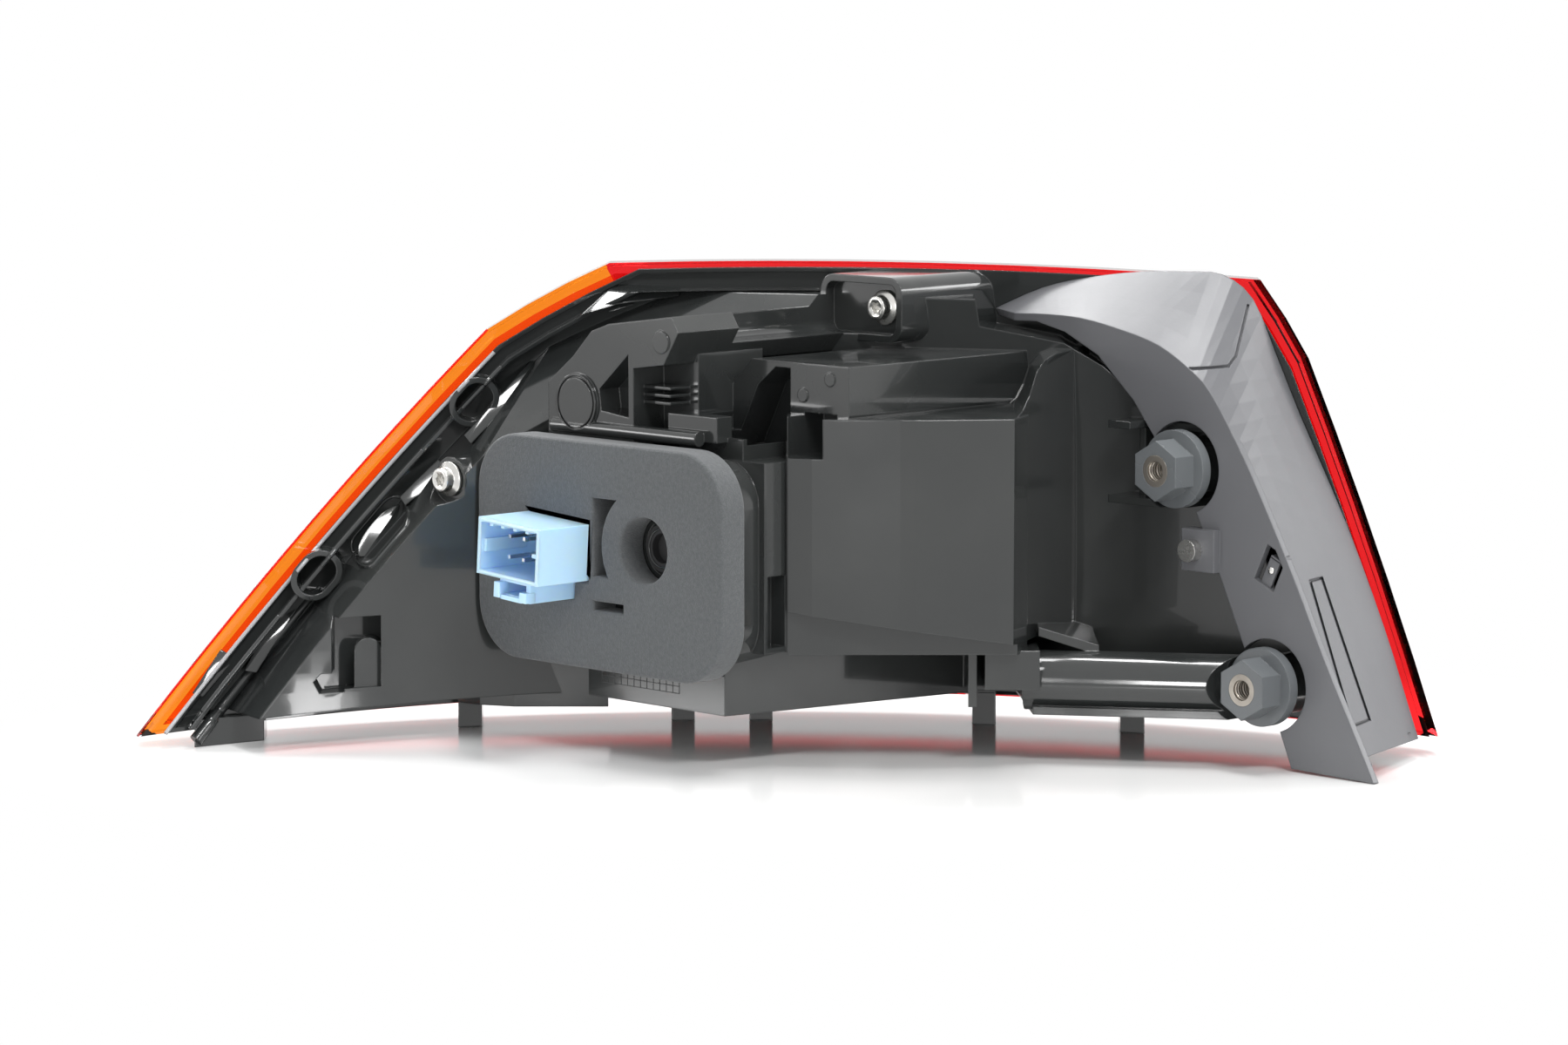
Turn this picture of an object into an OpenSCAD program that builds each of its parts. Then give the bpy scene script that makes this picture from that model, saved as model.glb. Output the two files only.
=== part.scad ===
/* [Lens] */
// Plan radius of the wrap-around outer lens
lens_r = 350; // [340:1:370]
// Radius of the lens's gentle crown from top to bottom
crown_r = 520; // [440:10:900]
// Height at which the crown stands furthest out
crown_z = 60; // [50:1:75]
// Wall thickness of the lens
lens_t = 2.8; // [2.2:0.1:3.2]
// Depth from the lens's outer surface to the back of its welding foot
rim_depth = 14; // [13:0.5:16]
// Thickness of the welding foot
foot_t = 2; // [1.5:0.1:2.6]
// Width of the amber strip along the leading edge
amber_w = 21; // [14:0.5:26]

/* [Outline] */
// Distance from the middle of the lamp to the leading tip
tip_left = 217.5; // [214:0.5:224]
// Distance from the middle of the lamp to the trailing corner
tip_right = 217.5; // [216:0.5:222]
// Height of the top edge at its middle
lens_top = 160.5; // [159:0.5:166]
// Drop from the top edge to the end of the slanted leading edge
shoulder_drop = 24.5; // [22:0.5:28]
// Drop from the top edge to the knee in the trailing edge
knee_drop = 30.5; // [25:0.5:36]
// Rise of the arched bottom edge between its two ends
arch_h = 3; // [2:0.5:5]

/* [Housing] */
// Wall thickness of the housing
wall = 2.6; // [2.2:0.1:3]
// Depth of the housing's bowl behind the lens surface
bowl_depth = 45; // [43:1:50]
// Plane of the face that the foam gasket seats on
seat_y = -24; // [-28:1:-22]
// Height of the floor of the lower box
box_z = 17; // [14:0.5:19]
// Height of the main wall's foot
main_z = 37; // [35:0.5:40]
// Drop from the lens's top edge to the main wall's top ledge
ledge_drop = 45.5; // [43:0.5:48]
// Drop from the lens's top edge to the beam's glossy top
beam_drop = 28.5; // [26:0.5:30]
// Plane of the beam's near end
beam_y = 8; // [5:0.5:12]

/* [Gasket and connector] */
// Length of the foam gasket
pad_w = 118; // [114:1:122]
// Height of the foam gasket
pad_h = 76; // [73:1:80]
// Thickness of the foam gasket
pad_t = 11; // [8:0.5:14]
// Corner radius of the foam gasket
pad_r = 19; // [14:1:24]
// Diameter of the round hole in the gasket
pad_hole_d = 22; // [18:0.5:24]
// Width of the connector's mouth
plug_w = 30; // [27:0.5:32]
// Height of the connector's mouth
plug_h = 19; // [17:0.5:21]
// Length of the connector's shell in front of the gasket
plug_len = 22; // [19:0.5:26]
// Wall thickness of the connector's shell
plug_wall = 1.4; // [1:0.1:1.8]
// Turn of the connector about its own axis
plug_turn = 4; // [0:1:8]

/* [Adjusters and screws] */
// Plane of the hexagons' end faces
hex_y = 92; // [89:0.5:95]
// Width across flats of the hexagons
hex_af = 17.5; // [16:0.5:19]
// Length of the hexagons
hex_len = 9; // [7:0.5:10]
// Diameter of the collar behind each hexagon
collar_d = 26; // [23:0.5:28]
// Diameter of each adjuster's shank
shank_d = 12; // [11:0.5:13]
// Diameter of the threaded hole in the adjusters
thread_d = 6.8; // [5:0.1:7]
// Depth of the threaded hole
thread_len = 14; // [10:1:16]
// Head diameter of the housing screws
screw_head_d = 12; // [10:0.5:13]
// Shank diameter of the housing screws
screw_d = 4.2; // [3.5:0.1:5]

/* [Trim] */
// Plane of the near face of the trim's blade
blade_y = 106; // [105:0.5:109]
// Thickness of the trim
trim_t = 2.6; // [2:0.1:3]
// Radial room between an adjuster's collar and the trim
trim_gap = 2.5; // [1:0.5:4]

/* [Light unit] */
// Width of the light guide that frames the lamp
guide_w = 6; // [4:0.5:8]
// Depth of the inner bezel's face behind the lens surface
bezel_depth = 7; // [6.5:0.5:8]
// Depth of the reflectors' front edges behind the lens surface
tray_depth = 24; // [20:1:28]
// Diameter of a reflector cup at its front
cup_d = 24; // [20:0.5:26]
// Distance between neighbouring reflector cups
cup_pitch = 28; // [27:0.5:32]

/* [Hidden] */
$fn = 96;

// The lamp's own axes: u runs across the lamp, v from the car towards the lens, z up
lamp_turn = 45;
// Centre of the lens's plan arc on those axes, and how far out the arc stands
lens_cu = -12;
lens_front = 116;
lens_cv = lens_front - lens_r;
// Clearances between pieces that lie on each other and between pieces that pass through
seam = 0.2;
gap = 0.3;
// Far end of every block that runs into the bowl
reach = 140;

beam_z = lens_top - beam_drop;
ledge_z = lens_top - ledge_drop;
left_tip = [-tip_left, 3.5];
shoulder = [-102, lens_top - shoulder_drop];
top_left = [-60, lens_top - 2];
top_right = [160, lens_top - 4.5];
knee = [176, lens_top - knee_drop];
right_tip = [tip_right, 6.5];

// Inset of each edge from the lens outline: leading, top, trailing, bottom
edge_in = [1, 0.5, 3, 0.5];
rim_in = [6.2, 1.4, 7, 1.4];
rail_in = 11.5;
bowl_in = [rail_in + 4, 9.5, 11, 7];
guide_in = [38, 16, 18, 13];
rim_back = rim_depth + seam;
edge_h = 5;
tray_h = 12;
board_depth = tray_depth + tray_h + seam;

// Middle of the gasket, its hole and the connector, as [x, z]
pad_c = [-52.6, 67];
hole_c = [-30.4, 71];
plug_c = [-72, 69];
pad_front = seat_y - pad_t;
plug_front = pad_front - plug_len;
seat_edge = 4;

// Axes of the adjusters and the screws, as [x, z]
adjusters = [[80.7, 96], [118.6, 27.2]];
collar_t = 4;
collar_y = hex_y + hex_len;
insert_wall = 1.9;
screw_low = [-122.2, 87.6];
screw_low_y = -43;
screw_top = [-17.3, lens_top - 14.5];
slot_centres = [[-105.7, 112.4], [-158.5, 55.1]];
screw_top_y = 66;
screw_head_t = 5;
screw_len = 16;
trim_screw_c = [88, 69.5];
trim_screw_d = 7.5;

// Outlines of the blocks on the housing's back, clockwise
main_plan = [[1, 60], [84, 60], [80, 2], [75, -10], [43, -13], [38, -13], [9, -10.5], [1, -8]];
box_plan = [[-65.7, 80], [62, 80], [62, 43], [-19.4, -8.9], [-65.7, 37.4]];
recess_plan = [[76, 60], [101, 60], [97, 44], [87, 22], [76, -4]];
// The curved rise of the wall's top edge, as [u, z], clockwise
sweep_up = [[70, 20], [70, ledge_z - 1.5], [75, ledge_z - 0.8], [78, ledge_z + 1.5], [80.5, ledge_z + 6],
    [83, ledge_z + 13], [86, ledge_z + 16.5], [90, ledge_z + 18], [120, ledge_z + 18.5], [120, 20]];
corner_plan = [[-112, 85], [-60, 85], [-60, 62], [-92, 62], [-104, 66], [-112, 72]];
end_face = [[-23, beam_z], [22, beam_z], [22, beam_z - 16], [17, beam_z - 28], [-4, beam_z - 34],
    [-32, beam_z - 29], [-40, beam_z - 17]];
step_face = [[-90, ledge_z - 11], [-90, ledge_z + 7], [-78, ledge_z + 16], [-68.6, ledge_z + 25.2],
    [-60.1, ledge_z + 28.1], [-30.5, ledge_z + 32.1], [-27, ledge_z + 27], [-34, ledge_z + 16],
    [-48.5, ledge_z + 14], [-48.5, ledge_z - 11]];
step_pocket_face = [[-65, ledge_z + 6], [-50.8, ledge_z + 18.5], [-50.8, ledge_z - 2.5], [-64, ledge_z - 1]];
post_pocket_face = [[-31, beam_z - 30], [-20, beam_z - 8.5], [-12, beam_z - 2], [-5, beam_z - 2],
    [-5, beam_z - 26], [-28, beam_z - 31.5]];
post_recess_face = [[1.5, beam_z - 16], [16.5, beam_z - 16], [16.5, beam_z - 30], [1.5, beam_z - 30]];
disc_c = [-75.4, ledge_z + 0.9];
step_y = -22;

// Room in front of the bowl for the trim, clockwise
trim_room = [[58, 190], [260, 190], [260, -30], [191, -30], [145, lens_top - 49.5], [118, lens_top - 42.5],
    [107, lens_top - 33], [94, lens_top - 25.5], [66, lens_top - 20.5]];

// Windows of the bezel and the reflectors behind them, clockwise
brake_window = [[-90, 78], [-62, lens_top - 49.5], [-24, lens_top - 29.5], [87, lens_top - 29.5],
    [99, lens_top - 36], [112, lens_top - 47], [140, lens_top - 55], [149, 78]];
turn_window = [[-129, 26], [-104, 66], [-24, 66], [-24, 26]];
reverse_window = [[-14, 26], [-14, 66], [152, 66], [165, 26]];

// The trim's front edge, as [x, z] on the blade, each with the point of its back edge, as [u, z]
trim_line = [[[5, lens_top - 17.5], [72.4, lens_top - 16.5]], [[20, lens_top - 17], [88, lens_top - 9]],
    [[36, lens_top - 17.5], [103.4, lens_top - 5]], [[54.3, lens_top - 20.5], [121, lens_top - 2.5]],
    [[69.7, lens_top - 24.5], [135, lens_top - 1.9]], [[83, lens_top - 31.5], [147, lens_top - 2.5]],
    [[92, lens_top - 38.5], [157, lens_top - 10.5]], [[104, lens_top - 55], [165, lens_top - 29.5]],
    [[114, 89.3], [173, lens_top - 49.5]], [[128.5, 63.5], [188, 75.7]], [[141.2, 38.7], [200, 42]],
    [[152.5, 18.5], [207.4, 17]], [[158.4, 8], [210.4, 6.5]]];
// The rest of the blade's outline, from its tip back up its inner edge
blade_line = [[162.7, 0], [128.5, 0.8], [122, 16], [108, 38.5], [97.5, 61], [84.5, 86],
    [70, lens_top - 57.5], [58.8, lens_top - 43.5], [43, lens_top - 29.5], [28, lens_top - 22.5]];
// The fold line and the sunk frame on the trim's wall, as [u, z]
fold_line = [[131, lens_top - 33], [134, lens_top - 31.5], [147, lens_top - 30.9], [149.8, lens_top - 28],
    [155, lens_top - 12.5]];
line_depth = 0.9;
sunk_frame = [[171.5, 62], [177, 62], [191.5, 17], [183.5, 17]];

function unit(v) = v / norm(v);
function right_of(a, b) = let (e = unit(b - a)) [e.y, -e.x];
// Corner b moved inwards by d1 from edge a-b and by d2 from edge b-c
function moved(a, b, c, d1, d2) =
    let (n1 = right_of(a, b), n2 = right_of(b, c), k = n1.x * n2.y - n1.y * n2.x)
    b + [d1 * n2.y - d2 * n1.y, n1.x * d2 - n2.x * d1] / k;
// A clockwise outline with every edge moved inwards by d
function inset(p, d) =
    let (n = len(p))
    [for (i = [0:n - 1]) moved(p[(i + n - 1) % n], p[i], p[(i + 1) % n], d, d)];
// Points from a up to b, bowed outwards by h at the middle
function bow(a, b, h, n) =
    [for (i = [0:n - 1]) let (t = i / n) a + (b - a) * t - right_of(a, b) * h * 4 * t * (1 - t)];
// The lens outline, inset by d = [leading, top, trailing, bottom]
function outline(d) =
    let (
        a = moved(right_tip, left_tip, shoulder, d[3], d[0]),
        b = moved(left_tip, shoulder, top_left, d[0], d[0]),
        c = moved(shoulder, top_left, top_right, d[0], d[1]),
        e = moved(top_left, top_right, knee, d[1], d[2]),
        f = moved(top_right, knee, right_tip, d[2], d[2]),
        g = moved(knee, right_tip, left_tip, d[2], d[3])
    )
    concat(bow(a, b, 2.5, 6), bow(b, c, 1, 3), bow(c, e, 1.5, 8), bow(e, f, 0.6, 2),
        bow(f, g, 1.5, 5), bow(g, a, -arch_h, 12));
function all4(d) = [d, d, d, d];
// Plan radius of the lens's surface at height z, less a depth d
function surface_r(z, d) =
    lens_r - crown_r + sqrt((crown_r - d) * (crown_r - d) - (z - crown_z) * (z - crown_z));
// Place on the lens's surface, in the row's axes, of the point (u, z) at depth d
function on_lens(p, d) =
    let (r = surface_r(p.y, d), v = lens_cv + sqrt(r * r - (p.x - lens_cu) * (p.x - lens_cu)))
    [(p.x - v) / sqrt(2), (p.x + v) / sqrt(2), p.y];
function cup_angle(i) = 90 - i * asin(cup_pitch / lens_r);

// The origin lies in the mouth of the upper adjuster's thread
module place() translate([-adjusters[0].x, -hex_y, -adjusters[0].y]) children();
module lamp() rotate([0, 0, lamp_turn]) children();
// A (u, z) drawing carried through the lamp along v
module through(v0 = -120, v1 = 140) translate([0, v1, 0]) rotate([90, 0, 0])
    linear_extrude(v1 - v0) children();
// An (x, z) drawing carried along the mounting direction from y0 to y1
module along_y(y0, y1) translate([0, y1, 0]) rotate([90, 0, 0]) linear_extrude(y1 - y0) children();
// A plan drawing raised from z0 to z1
module raised(z0, z1) translate([0, 0, z0]) linear_extrude(z1 - z0) children();
// Everything inside the lens's outer surface, less a depth d
module inside_lens(d) translate([lens_cu, lens_cv, 0]) rotate_extrude() intersection() {
    translate([lens_r - crown_r, crown_z]) circle(crown_r - d, $fn = 360);
    translate([lens_r - 160, -30]) square([170, 230]);
}
// Everything between two depths behind the lens's outer surface
module between(d0, d1) translate([lens_cu, lens_cv, 0]) rotate_extrude() intersection() {
    translate([lens_r - crown_r, crown_z]) difference() {
        circle(crown_r - d0, $fn = 360);
        circle(crown_r - d1, $fn = 360);
    }
    translate([lens_r - 160, -30]) square([170, 230]);
}
// A piece that follows the lens between two depths, cut to the drawing
module curved(d0, d1) intersection() {
    through() children();
    between(d0, d1);
}
module rounded(w, h, r) {
    square([w - 2 * r, h], center = true);
    square([w, h - 2 * r], center = true);
    for (x = [-1, 1], z = [-1, 1]) translate([x * (w / 2 - r), z * (h / 2 - r)]) circle(r);
}
module oval(len, d, turn) rotate(turn) {
    square([len - d, d], center = true);
    for (x = [-1, 1]) translate([x * (len - d) / 2, 0]) circle(d / 2);
}
module ring(d_in, d_out) difference() {
    polygon(outline(d_in));
    polygon(outline(d_out));
}
module rod_y(c, d, y0, y1) along_y(y0, y1) translate(c) circle(d / 2);
// The amber strip of the outline, grown by g
module amber_zone(g = 0) {
    w = amber_w + g;
    n = right_of(left_tip, shoulder);
    m = right_of(shoulder, top_left);
    end = shoulder + (top_left - shoulder) * 0.97;
    below = (shoulder - left_tip) * 0.3;
    polygon([left_tip - n * 20 - below, shoulder - n * 20, end - m * 20, end + m * w,
        moved(left_tip, shoulder, top_left, w, w), left_tip + n * w - below]);
}

// Lens
module lens_body() difference() {
    union() {
        curved(0, rim_depth - edge_h) polygon(outline(all4(0)));
        curved(lens_t, rim_depth) polygon(outline(edge_in));
    }
    curved(lens_t, rim_depth - foot_t) polygon(outline(edge_in + all4(lens_t)));
    curved(lens_t, rim_depth + 5) polygon(outline(rim_in + all4(2.5)));
}
module lens_red() color([0.75, 0.03, 0.03, 0.6]) place() lamp() difference() {
    lens_body();
    through() amber_zone(seam);
}
module lens_amber() color([1, 0.45, 0.05, 0.7]) place() lamp() intersection() {
    lens_body();
    through() amber_zone();
}
module rim_seal() color([0.15, 0.15, 0.15]) place() lamp()
    curved(rim_depth - foot_t, rim_depth) ring(rim_in + all4(2.8), rim_in + all4(4.8));

// Everything on the outer side of a plane that slopes from the rim into the bowl along the edge a to b
module apron(a, b, d, rise, tilt, w) {
    m = (a + b) / 2 + right_of(a, b) * d;
    r = surface_r(m.y, rim_back + wall);
    foot_v = lens_cv + sqrt(r * r - (m.x - lens_cu) * (m.x - lens_cu));
    translate([m.x, foot_v, m.y]) rotate([-rise, atan2(b.x - a.x, b.y - a.y), 0]) rotate([0, 0, tilt])
        translate([w - 100, -150, -150]) cube([100, 300, 300]);
}
// The bowl behind the rim, cut back where the trim wraps over it
module bowl(w, depth) difference() {
    curved(rim_back - w, depth) difference() {
        polygon(outline(bowl_in + all4(w)));
        polygon(inset(trim_room, -w));
    }
    apron(left_tip, shoulder, bowl_in[0], 17, 20, w);
    apron(shoulder, top_left, bowl_in[0], 10, 40, w);
}
// The rail along the leading edge and the slotted collars on it
module rail() curved(rim_back + 1, rim_back + wall + 8)
    ring([rail_in, 9, 9, 3], [rail_in + 1.4, 9, 9, 3]);
module slot_collars() {
    curved(rim_back + 1, rim_back + wall + 9) for (c = slot_centres) translate(c) oval(18, 14.5, 49);
}
module collar_slots(grow) curved(rim_back + wall, rim_back + wall + 40)
    for (c = slot_centres) translate(c) oval(14 + 2 * grow, 10.5 + 2 * grow, 49);
// The oval recess on the slope of the bowl
module oval_recess(grow) curved(27 - grow, bowl_depth + 20)
    translate([-137.8, 68.8]) oval(23 + 2 * grow, 9 + 2 * grow, 49);
// The pocket on the bowl's back and its arched boss
module corner_pocket(grow) curved(bowl_depth - 9 - grow, bowl_depth + 5) {
    translate([-144, 31]) square([16 + 2 * grow, 24 + 2 * grow], center = true);
    polygon(inset([[-158, 22], [-155.5, 24.5], [-148, 24.5], [-148, 18], [-156, 18]], -grow));
}
module corner_boss() curved(bowl_depth - 11, bowl_depth - 2) translate([-140.5, 31]) {
    circle(4.4);
    translate([-4.4, -12.5]) square([8.8, 12.5]);
}

// Housing: each block is drawn full size with w = 0, and its hollow with w = wall
module seat_block(w) along_y(seat_y + w, reach) translate(pad_c)
    rounded(pad_w - 2 * (seat_edge + w), pad_h - 2 * (seat_edge + w), pad_r - seat_edge - w);
module column_block(w) translate([-20, seat_y + 10 + w, main_z + 1 + w])
    cube([25 - w, reach, ledge_z - 15 - main_z - 2 * w]);
module main_block(w) lamp() difference() {
    raised(main_z + w, ledge_z - w) polygon(inset(main_plan, w));
    through(-60, w - 6.5) polygon([[-5, main_z + 15.3 + w], [95, main_z + 1 + w], [95, 0], [-5, 0]]);
}
module end_block(w) along_y(beam_y + w, reach) polygon(inset(end_face, w));
module box_block(w) lamp() raised(box_z + w, main_z + 1 - w) polygon(inset(box_plan, w));
module recess_block(w) lamp() intersection() {
    raised(40 + w, beam_z + 1 - w) polygon(inset(recess_plan, w));
    through() polygon(inset(sweep_up, w));
}
module step_block(w) along_y(step_y + w, reach) polygon(inset(step_face, w));
module corner_block(w) lamp() raised(9 + w, 42 - w) polygon(inset(corner_plan, w));
module step_details() {
    rod_y(disc_c, 19.4, step_y - 1.2, step_y + 4);
    rod_y([-35, ledge_z + 23.5], 7.5, step_y - 0.6, step_y + 2);
    // Ribs under the step's overhang
    for (z = [2.2:2.5:7.2]) translate([-50, step_y + 5, ledge_z + z]) cube([14, 30, 1]);
    translate([-50, step_y + 14, ledge_z - 11]) cube([18, 30, 30]);
    // Half-round rail and the bare block at its end
    translate([-88, step_y + 1, ledge_z - 7.4]) rotate([0, 90, 0]) cylinder(h = 70, d = 5);
    translate([-35, step_y + 3, ledge_z - 8.5]) cube([23, 20, 8.5]);
    // Plate that ties the block to the post
    translate([-35, step_y + 8, ledge_z - 19]) cube([30, 30, 12]);
}
module disc_groove() rod_ring(disc_c, 18, 16.6, step_y - 2, step_y - 0.4);
module rod_ring(c, d_out, d_in, y0, y1) along_y(y0, y1) translate(c) difference() {
    circle(d_out / 2);
    circle(d_in / 2);
}
module post_details() {
    for (c = [[0.9, beam_z - 10.5], [13.3, beam_z - 4.6]]) rod_y(c, 4.6, beam_y - 0.5, beam_y + 1);
    rod_y([-14.5, 92], 8, beam_y - 14, beam_y + 20);
}
// The plates and posts where the main wall meets the lower box
module foot_details() lamp() {
    through(6, 60) polygon([[84, main_z + 7.5], [104, main_z + 1.5], [104, main_z - 3], [101, main_z - 3],
        [101, main_z - 1], [84, main_z + 4.5]]);
    translate([66, -4, box_z + 8]) cube([18, 60, main_z - box_z - 7]);
    translate([60.6, -2, box_z + 2]) cube([2.8, 60, main_z - box_z]);
}
// Pockets that sink into the blocks, each grown by the wall where it bounds a hollow
module pockets(grow) {
    screw_pocket(grow);
    pad_relief(grow);
    lamp() {
        collar_slots(grow);
        oval_recess(grow);
        corner_pocket(grow);
    }
    along_y(step_y - 20, step_y + 9 + grow) polygon(inset(step_pocket_face, -grow));
    along_y(beam_y - 20, beam_y + 13 + grow) polygon(inset(post_pocket_face, -grow));
    along_y(beam_y - 20, beam_y + 9 + grow) polygon(inset(post_recess_face, -grow));
    // Way in for the lower screw
    rod_y(screw_low, screw_head_d + 5 + 2 * grow, screw_low_y - 60, screw_low_y + screw_head_t + gap + grow);
    // Slot in the side of the column
    translate([-1.5 - grow, seat_y + 11.5 - grow, main_z + 3 - grow])
        cube([7.5 + grow, 8 + 2 * grow, 23.5 + 2 * grow]);
}
// Room for the gasket where the bowl would stand in its way
module pad_relief(grow) along_y(seat_y - 40, seat_y + grow) translate(pad_c)
    rounded(pad_w + 1 + 2 * grow, pad_h + 1 + 2 * grow, pad_r + grow);
module pocket_outline(grow) translate(screw_top - [8, 0.5])
    rounded(33 + 2 * grow, 17 + 2 * grow, 3.5 + grow);
module screw_block(w) along_y(screw_top_y - 4 + w, reach) pocket_outline(wall - w);
// The pocket that sinks the upper screw into the bowl
module screw_pocket(grow) along_y(screw_top_y - 60, screw_top_y + grow) pocket_outline(grow);
module blocks(w) {
    seat_block(w);
    column_block(w);
    main_block(w);
    end_block(w);
    box_block(w);
    recess_block(w);
    step_block(w);
    corner_block(w);
    screw_block(w);
}
module adjuster_mounts() intersection() {
    union() {
        for (c = adjusters) rod_y(c, shank_d + 8, collar_y + collar_t + gap, reach);
        // Upper bracket: two shelves and a cheek between them
        translate([54, 99, adjusters[0].y + 12]) cube([9.5, 50, wall]);
        translate([54, blade_y + trim_t + gap, adjusters[0].y + 12]) cube([34, 50, wall]);
        translate([54, 99, adjusters[0].y - 13]) cube([29.5, 50, wall]);
        translate([60, 108, adjusters[0].y - 13]) cube([wall, 50, 26]);
        // Lower arm and its floor
        lamp() translate([80, 10, adjusters[1].y - 0.7]) rotate([90, 0, 80]) cylinder(h = 74, d = 20);
        lamp() raised(adjusters[1].y - 11, adjusters[1].y - 11 + wall)
            polygon([[78, 60], [172, 30], [166, -6], [150, -12], [82, 0]]);
        rod_y(trim_screw_c, 9, blade_y + trim_t + gap, reach);
    }
    lamp() inside_lens(rim_back + wall - 0.5);
}
module feet() intersection() {
    lamp() for (u = [-108, -35, -8, 69, 119]) translate([u - 4, 20, 0]) cube([8, 90, 12]);
    lamp() between(rim_back, rim_back + 9);
}
module tab() intersection() {
    lamp() translate([-198, 20, 0]) cube([22, 90, 9]);
    lamp() between(rim_back, rim_back + 8);
}
module housing() color([0.08, 0.08, 0.09]) place() difference() {
    union() {
        difference() {
            intersection() {
                union() {
                    lamp() curved(rim_back, rim_back + wall) polygon(outline(rim_in));
                    lamp() curved(rim_back, rim_back + 4.5) difference() {
                        ring(rim_in, rim_in + all4(1.6));
                        translate([60, -20]) square([200, 200]);
                    }
                    lamp() bowl(0, bowl_depth);
                    blocks(0);
                    adjuster_mounts();
                    step_details();
                    post_details();
                    foot_details();
                }
                lamp() inside_lens(rim_back);
            }
            difference() {
                union() {
                    lamp() bowl(wall, bowl_depth - wall);
                    blocks(wall);
                }
                pockets(wall);
            }
            pockets(0);
            disc_groove();
        }
        lamp() {
            rail();
            difference() {
                slot_collars();
                collar_slots(0);
            }
            corner_boss();
        }
        feet();
        tab();
        rod_y(screw_low, screw_head_d + 3, screw_low_y + screw_head_t + gap, screw_low_y + 16);
    }
    for (c = adjusters) {
        rod_y(c, collar_d + 4 * gap, hex_y - 10, collar_y + collar_t + gap);
        rod_y(c, shank_d + 0.2, 0, collar_y + collar_t + 14);
    }
    rod_y(screw_low, screw_d + 0.2, screw_low_y, screw_low_y + 40);
    rod_y(screw_top, screw_d + 0.2, screw_top_y - 5, screw_top_y + 20);
    along_y(plug_front, seat_y + 10) translate(plug_c) rotate(-plug_turn)
        square([plug_w + 1, plug_h + 1], center = true);
    rod_y(hole_c, pad_hole_d - 6, seat_y - 5, seat_y + 10);
    rod_y(trim_screw_c, 3.7, blade_y, blade_y + 17);
}

// Gasket and connector
module plug_outline(grow = 0) {
    square([plug_w + 2 * grow, plug_h + 2 * grow], center = true);
    translate([1, -plug_h / 2 - 2.6]) square([15 + 2 * grow, 9 + 2 * grow], center = true);
}
module foam_gasket() color([0.2, 0.2, 0.2]) place() along_y(pad_front, seat_y) difference() {
    translate(pad_c) rounded(pad_w, pad_h, pad_r);
    translate(hole_c) circle(pad_hole_d / 2);
    translate(plug_c) rotate(-plug_turn) plug_outline(0.5);
    // Wedge window beside the ring of foam around the hole
    difference() {
        translate(hole_c - [24.2, 10.6]) square([13, 26]);
        translate(hole_c) circle(20.5);
    }
    translate(hole_c - [17, 20.5]) square([14, 3], center = true);
}
module at_plug() translate([plug_c.x, 0, plug_c.y]) rotate([0, plug_turn, 0]) children();
module contacts(y0, y1, w) for (x = [-1:1], z = [-0.5, 0.5]) along_y(y0, y1)
    translate([x * 7, z * 7]) square(w, center = true);
module connector_shell() color([0.55, 0.72, 0.95]) place() at_plug() difference() {
    union() {
        along_y(plug_front, seat_y + wall) square([plug_w, plug_h], center = true);
        along_y(plug_front + 3, seat_y - 1) translate([1, -plug_h / 2 - 2.6]) square([15, 9], center = true);
    }
    along_y(plug_front - 1, pad_front + 3)
        square([plug_w - 2 * plug_wall, plug_h - 2 * plug_wall], center = true);
    along_y(plug_front, pad_front) translate([1, -plug_h / 2 - 3.4]) square([11, 4], center = true);
    contacts(pad_front, seat_y + 5, 1.3);
}
module connector_pins() color([0.85, 0.75, 0.4]) place() at_plug()
    contacts(plug_front + 7, seat_y + wall + 3, 1.2);

// Adjusters and screws
module adjuster(c) difference() {
    union() {
        along_y(hex_y, collar_y) translate(c) rotate(30) circle(hex_af / cos(30) / 2, $fn = 6);
        rod_y(c, collar_d, collar_y, collar_y + collar_t);
        rod_y(c, shank_d, collar_y, collar_y + collar_t + 12);
    }
    rod_y(c, thread_d + 2 * insert_wall, hex_y - 1, hex_y + thread_len);
}
module adjuster_upper() color([0.06, 0.06, 0.07]) place() adjuster(adjusters[0]);
module adjuster_lower() color([0.06, 0.06, 0.07]) place() adjuster(adjusters[1]);
module threaded_inserts() color([0.45, 0.43, 0.4]) place() for (c = adjusters) difference() {
    rod_y(c, thread_d + 2 * insert_wall, hex_y, hex_y + thread_len);
    rod_y(c, thread_d, hex_y - 1, hex_y + thread_len - 1);
}
module screw(c, y) difference() {
    union() {
        rod_y(c, screw_head_d, y + screw_head_t - 1.2, y + screw_head_t);
        rod_y(c, screw_head_d * 0.68, y, y + screw_head_t);
        rod_y(c, screw_d, y + screw_head_t - 1, y + screw_head_t + screw_len);
    }
    rod_y(c, screw_head_d * 0.34, y - 1, y + 2.6);
}
module housing_screws() color([0.75, 0.75, 0.72]) place() {
    screw(screw_low, screw_low_y);
    screw(screw_top, screw_top_y - screw_head_t - seam);
}
module breather_cap() color([0.05, 0.05, 0.05]) place() difference() {
    rod_y(hole_c, pad_hole_d - 6.2, seat_y - 2, seat_y + wall);
    rod_y(hole_c, pad_hole_d - 12, seat_y - 3, seat_y + 1);
}

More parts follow.
